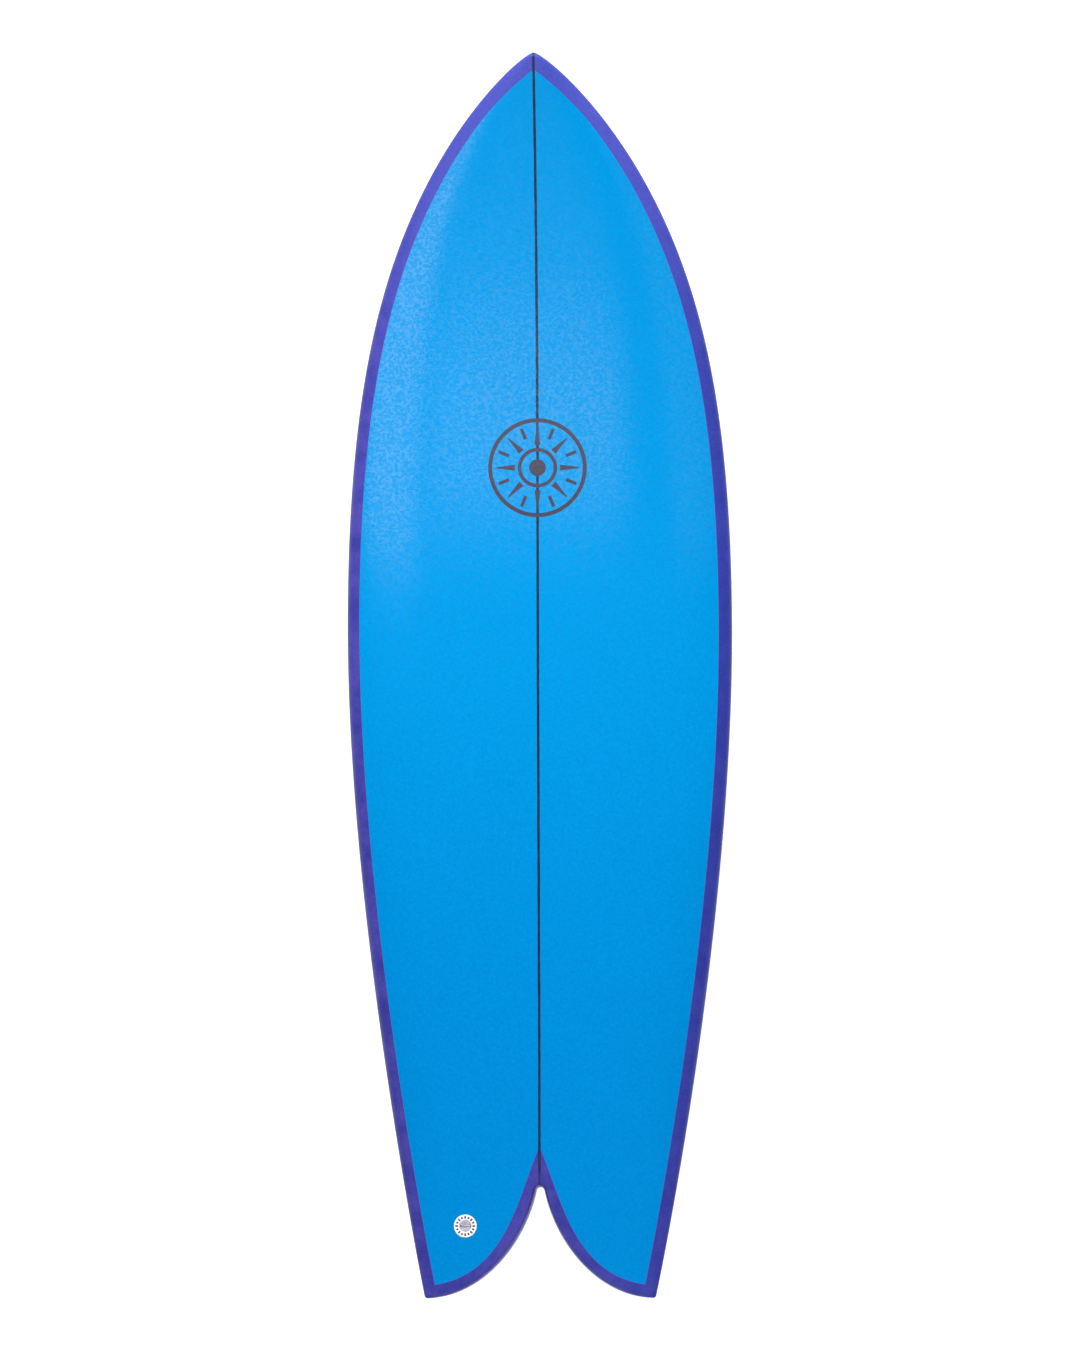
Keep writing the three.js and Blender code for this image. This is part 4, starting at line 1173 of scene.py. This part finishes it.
class SURFBOARD_OT_boxes(bpy.types.Operator):
    """Mould the two fin boxes with their slots and screw holes"""

    bl_idname = "surfboard.boxes"
    bl_label = "Fin boxes"

    def execute(self, context):
        sizes = context.scene.fish_fittings
        hull = Hull(context.scene.fish_sizes)
        place = seat(hull.bottom, sizes.fin_x, sizes.fin_y, sizes.fin_toe)
        plastic = white_plastic()
        out, down = fillet(BOX_LIP, 5)
        profile = [(BOX_BREADTH, -BOX_PROUD), *zip(BOX_LIP - out, down - BOX_PROUD)]
        profile += [(0, FLANGE_TOP), (-BOX_FLANGE, FLANGE_TOP)]
        profile += [(-BOX_FLANGE, FLANGE_UNDER), (0, FLANGE_UNDER)]
        profile += [(0, BOX_DEPTH - BOX_CHAMFER), (BOX_CHAMFER, BOX_DEPTH), (BOX_BREADTH, BOX_DEPTH)]
        insets, heights = zip(*profile)
        slot = block(SLOT_BREADTH / 2, SLOT_LENGTH / 2, -2 * MM, SLOT_DEPTH, 0.4 * MM)
        start, end = (0, SCREW_HOLE_START), (0, SCREW_HOLE_DEPTH)
        hole = lathe([start, (SCREW_HOLE, SCREW_HOLE_START), (SCREW_HOLE, SCREW_HOLE_DEPTH), end], 40)
        for side, matrix in (("right", place), ("left", MIRROR @ place)):
            shape = Surface()
            shape.shell((moved(stadium(BOX_LENGTH, BOX_BREADTH, insets, heights), matrix), 0))
            piece = shape.build(f"{side}_box", [plastic])
            cutters = []
            for end in (-1, 1):
                for form in (slot + [0, end * SLOT_Y, 0], moved(hole, screw_matrix(end))):
                    cutter = Surface()
                    cutter.shell((moved(form, matrix), 0))
                    cutters.append(cutter.build("box_cutter", []))
            carve(piece, cutters)
            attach(piece, "board")
            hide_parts(f"{side}_fin_box")
        return {"FINISHED"}


class SURFBOARD_OT_screws(bpy.types.Operator):
    """Turn the four grub screws with their sockets"""

    bl_idname = "surfboard.screws"
    bl_label = "Grub screws"

    def execute(self, context):
        sizes = context.scene.fish_fittings
        hull = Hull(context.scene.fish_sizes)
        place = seat(hull.bottom, sizes.fin_x, sizes.fin_y, sizes.fin_toe)
        steel = brushed_steel()
        angle = np.linspace(0, 2 * math.pi, 49)
        first, last = SCREW_CHAMFER, SCREW_LENGTH - POINT_LENGTH
        height = np.linspace(first, last, 90)[:, None]
        fade = np.minimum(1, np.minimum(height - first, last - height) / THREAD_FADE)
        groove = THREAD_HALF_DEPTH * (1 + np.cos(2 * math.pi * height / SCREW_PITCH - angle)) * fade
        thread = turned(SCREW_RADIUS - groove, height, angle)
        top = lathe([(SCREW_RADIUS - SCREW_CHAMFER, 0), (SCREW_RADIUS, SCREW_CHAMFER)], 48)
        tip = lathe([(SCREW_RADIUS, last), (POINT_RADIUS, SCREW_LENGTH), (0, SCREW_LENGTH)], 48)
        sixth = math.pi / 3
        hexagon = SOCKET_RADIUS * math.cos(sixth / 2) / np.cos((angle + 1e-9) % sixth - sixth / 2)
        mouth, eased = (hexagon, 0.1 * MM), (hexagon * 1.08, 0.0)
        rings = [(0 * angle, SOCKET_DEPTH), (hexagon, SOCKET_DEPTH), mouth, eased]
        socket = np.stack([turned(*ring, angle) for ring in rings])
        joined = np.concatenate([socket, top, thread, tip])
        for side, matrix in (("right", place), ("left", MIRROR @ place)):
            for end, word in ((-1, "rear"), (1, "front")):
                screw = Surface()
                screw.shell((moved(moved(joined, screw_matrix(end)), matrix), 0))
                piece = screw.build(f"{side}_{word}_screw", [steel])
                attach(piece, "board")
                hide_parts(f"{side}_{word}_grub_screw")
        return {"FINISHED"}


class SURFBOARD_OT_fins(bpy.types.Operator):
    """Foil the two keel fins, flat inboard and curved outboard, with their tabs"""

    bl_idname = "surfboard.fins"
    bl_label = "Keel fins"

    def execute(self, context):
        sizes = context.scene.fish_fittings
        hull = Hull(context.scene.fish_sizes)
        place = seat(hull.bottom, sizes.fin_x, sizes.fin_y, sizes.fin_toe)
        laminate = fin_laminate()
        base, deep = sizes.fin_base, sizes.fin_depth
        t = np.linspace(0, 1, 4001)
        tip = (FIN_TIP_Y, deep)
        leading = cubic(np.array([(base, 0), (45 * MM, 55 * MM), (5 * MM, deep), tip]), t)[0]
        trailing = cubic(np.array([(-base, 0), (-58 * MM, 45 * MM), (-102 * MM, deep), tip]), t)[0]
        depth = deep * np.sin(np.linspace(0, math.pi / 2, 64))[:, None]
        front = np.interp(depth, leading[:, 1], leading[:, 0])
        back = np.interp(depth, trailing[:, 1], trailing[:, 0])
        chord = (1 - np.cos(np.linspace(0, math.pi, 49))) / 2
        thickness = FIN_EDGE + FIN_FOIL * np.sqrt(np.clip(1 - (depth / deep) ** 1.6, 0, 1))
        rounding = np.sqrt(np.clip(1 - (1 - np.minimum(chord, 1 - chord) / 0.012).clip(0, 1) ** 2, 0, 1))
        bulge = np.sqrt(chord) * (1 - chord) / 0.385
        inner = FIN_INBOARD + 0 * chord + 0 * depth
        outer = inner + FIN_EDGE * rounding + (thickness - FIN_EDGE) * bulge
        lean = depth * math.tan(sizes.fin_cant)
        y = front + (back - front) * chord
        sides = [np.stack([x + lean, y, -FIN_LIFT - depth + 0 * y], axis=-1) for x in (outer, inner)]
        ring = np.concatenate([sides[0], sides[1][:, ::-1]], axis=1)
        lid = np.stack([sides[0][0], sides[1][0]], axis=0)
        tab = block(TAB_BREADTH / 2, TAB_LENGTH / 2, -FIN_LIFT - 0.5 * MM, TAB_DEPTH, 0.5 * MM)
        for side, matrix in (("right", place), ("left", MIRROR @ place)):
            blade = Surface()
            shell = [moved(grid, matrix) for grid in (ring, lid)]
            flip = swept_volume(shell[0]) < 0
            blade.grid(shell[0], 0, flip)
            blade.grid(shell[1], 0, not flip)
            for end in (-1, 1):
                blade.shell((moved(tab + [0, end * SLOT_Y, 0], matrix), 0))
            piece = blade.build(f"{side}_keel", [laminate])
            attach(piece, f"{side}_keel")
            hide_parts(f"{side}_fin")
        return {"FINISHED"}


class SURFBOARD_OT_core(bpy.types.Operator):
    """Finish the foam, the stringer and the collars, which stay as they are in the frame"""

    bl_idname = "surfboard.core"
    bl_label = "Core"

    def execute(self, context):
        foam, wood = blank_foam(), bare_wood()
        finishes = {"foam_left": foam, "foam_right": foam, "stringer": wood}
        finishes.update({f"{side}_fin_box_collar": foam for side in ("left", "right")})
        for node, material in finishes.items():
            for material_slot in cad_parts[node].material_slots:
                material_slot.material = material
        return {"FINISHED"}


def area_light(name, place, target, size, power):
    """A soft rectangular light at a place, which faces a target."""
    light = bpy.data.lights.new(name, "AREA")
    light.shape = "RECTANGLE"
    light.size, light.size_y = size
    light.energy = power
    lamp = bpy.data.objects.new(name, light)
    lamp.visible_camera = False
    bpy.context.scene.collection.objects.link(lamp)
    turn = (Vector(target) - Vector(place)).to_track_quat("-Z", "Y")
    lamp.matrix_world = Matrix.Translation(place) @ turn.to_matrix().to_4x4()


class SURFBOARD_OT_stage(bpy.types.Operator):
    """Set the pale floor, the soft studio lights and the camera straight over the deck"""

    bl_idname = "surfboard.stage"
    bl_label = "Stage"

    def execute(self, context):
        settings = context.scene.fish_stage
        ground = CAD_BOUNDS[0][2] - settings.clearance
        span = np.linspace(-FLOOR_REACH, FLOOR_REACH, 9)
        x, y = np.meshgrid(span, span, indexing="ij")
        floor = Surface()
        floor.grid(np.stack([x, y, ground + 0 * x], axis=-1))
        floor.build("floor", [studio_floor()])

        world = bpy.data.worlds.new("studio")
        context.scene.world = world
        world.use_nodes = True
        background = world.node_tree.nodes["Background"]
        background.inputs["Color"].default_value = (1, 1, 1, 1)
        path = world.node_tree.nodes.new("ShaderNodeLightPath")  # a white backdrop that lights nothing
        world.node_tree.links.new(path.outputs["Is Camera Ray"], background.inputs["Strength"])

        for name, place, target, size, power in LIGHTS:
            area_light(name, place, target, size, getattr(settings, power))

        camera = bpy.data.cameras.new("camera")
        camera.sensor_fit = "VERTICAL"
        camera.sensor_height = 24.0
        camera.lens = camera.sensor_height * settings.distance / settings.view_height
        camera.clip_end = 2 * settings.distance
        eye = bpy.data.objects.new("camera", camera)
        context.scene.collection.objects.link(eye)
        target = Matrix.Translation((0, AIM_Y, BOARD_HIGH[2] * AIM_HEIGHT))
        turn = Matrix.Rotation(settings.lean, 4, "Y") @ Matrix.Rotation(-settings.roll, 4, "Z")
        eye.matrix_world = target @ turn @ Matrix.Translation((0, 0, settings.distance))
        context.scene.camera = eye
        context.scene.view_settings.view_transform = "Standard"
        context.scene.view_settings.look = "None"
        return {"FINISHED"}


class SURFBOARD_PT_panel(bpy.types.Panel):
    """Lists the board's pieces and settings"""

    bl_idname = "SURFBOARD_PT_panel"
    bl_label = "Fish surfboard"
    bl_space_type = "VIEW_3D"
    bl_region_type = "UI"
    bl_category = "Surfboard"

    def draw(self, context):
        for operator in OPERATORS:
            self.layout.operator(operator.bl_idname)
        for name, group in SETTINGS.items():
            box = self.layout.box()
            for key in group.__annotations__:
                box.prop(getattr(context.scene, name), key)


OPERATORS = (
    SURFBOARD_OT_stage,
    SURFBOARD_OT_core,
    SURFBOARD_OT_deck,
    SURFBOARD_OT_bottom,
    SURFBOARD_OT_emblem,
    SURFBOARD_OT_plug,
    SURFBOARD_OT_boxes,
    SURFBOARD_OT_screws,
    SURFBOARD_OT_fins,
)
SETTINGS = {
    "fish_sizes": BoardSizes,
    "fish_fittings": FittingSizes,
    "fish_colours": BoardColours,
    "fish_stage": StageSettings,
}


def register():
    for item in (*SETTINGS.values(), *OPERATORS, SURFBOARD_PT_panel):
        bpy.utils.register_class(item)
    for name, group in SETTINGS.items():
        setattr(bpy.types.Scene, name, PointerProperty(type=group))


def unregister():
    for name in SETTINGS:
        delattr(bpy.types.Scene, name)
    for item in reversed((*SETTINGS.values(), *OPERATORS, SURFBOARD_PT_panel)):
        bpy.utils.unregister_class(item)


def main():
    register()
    bpy.ops.surfboard.stage()
    bpy.ops.surfboard.core()
    bpy.ops.surfboard.deck()
    bpy.ops.surfboard.bottom()
    bpy.ops.surfboard.emblem()
    bpy.ops.surfboard.plug()
    bpy.ops.surfboard.boxes()
    bpy.ops.surfboard.screws()
    bpy.ops.surfboard.fins()


if __name__ == "__main__":
    main()
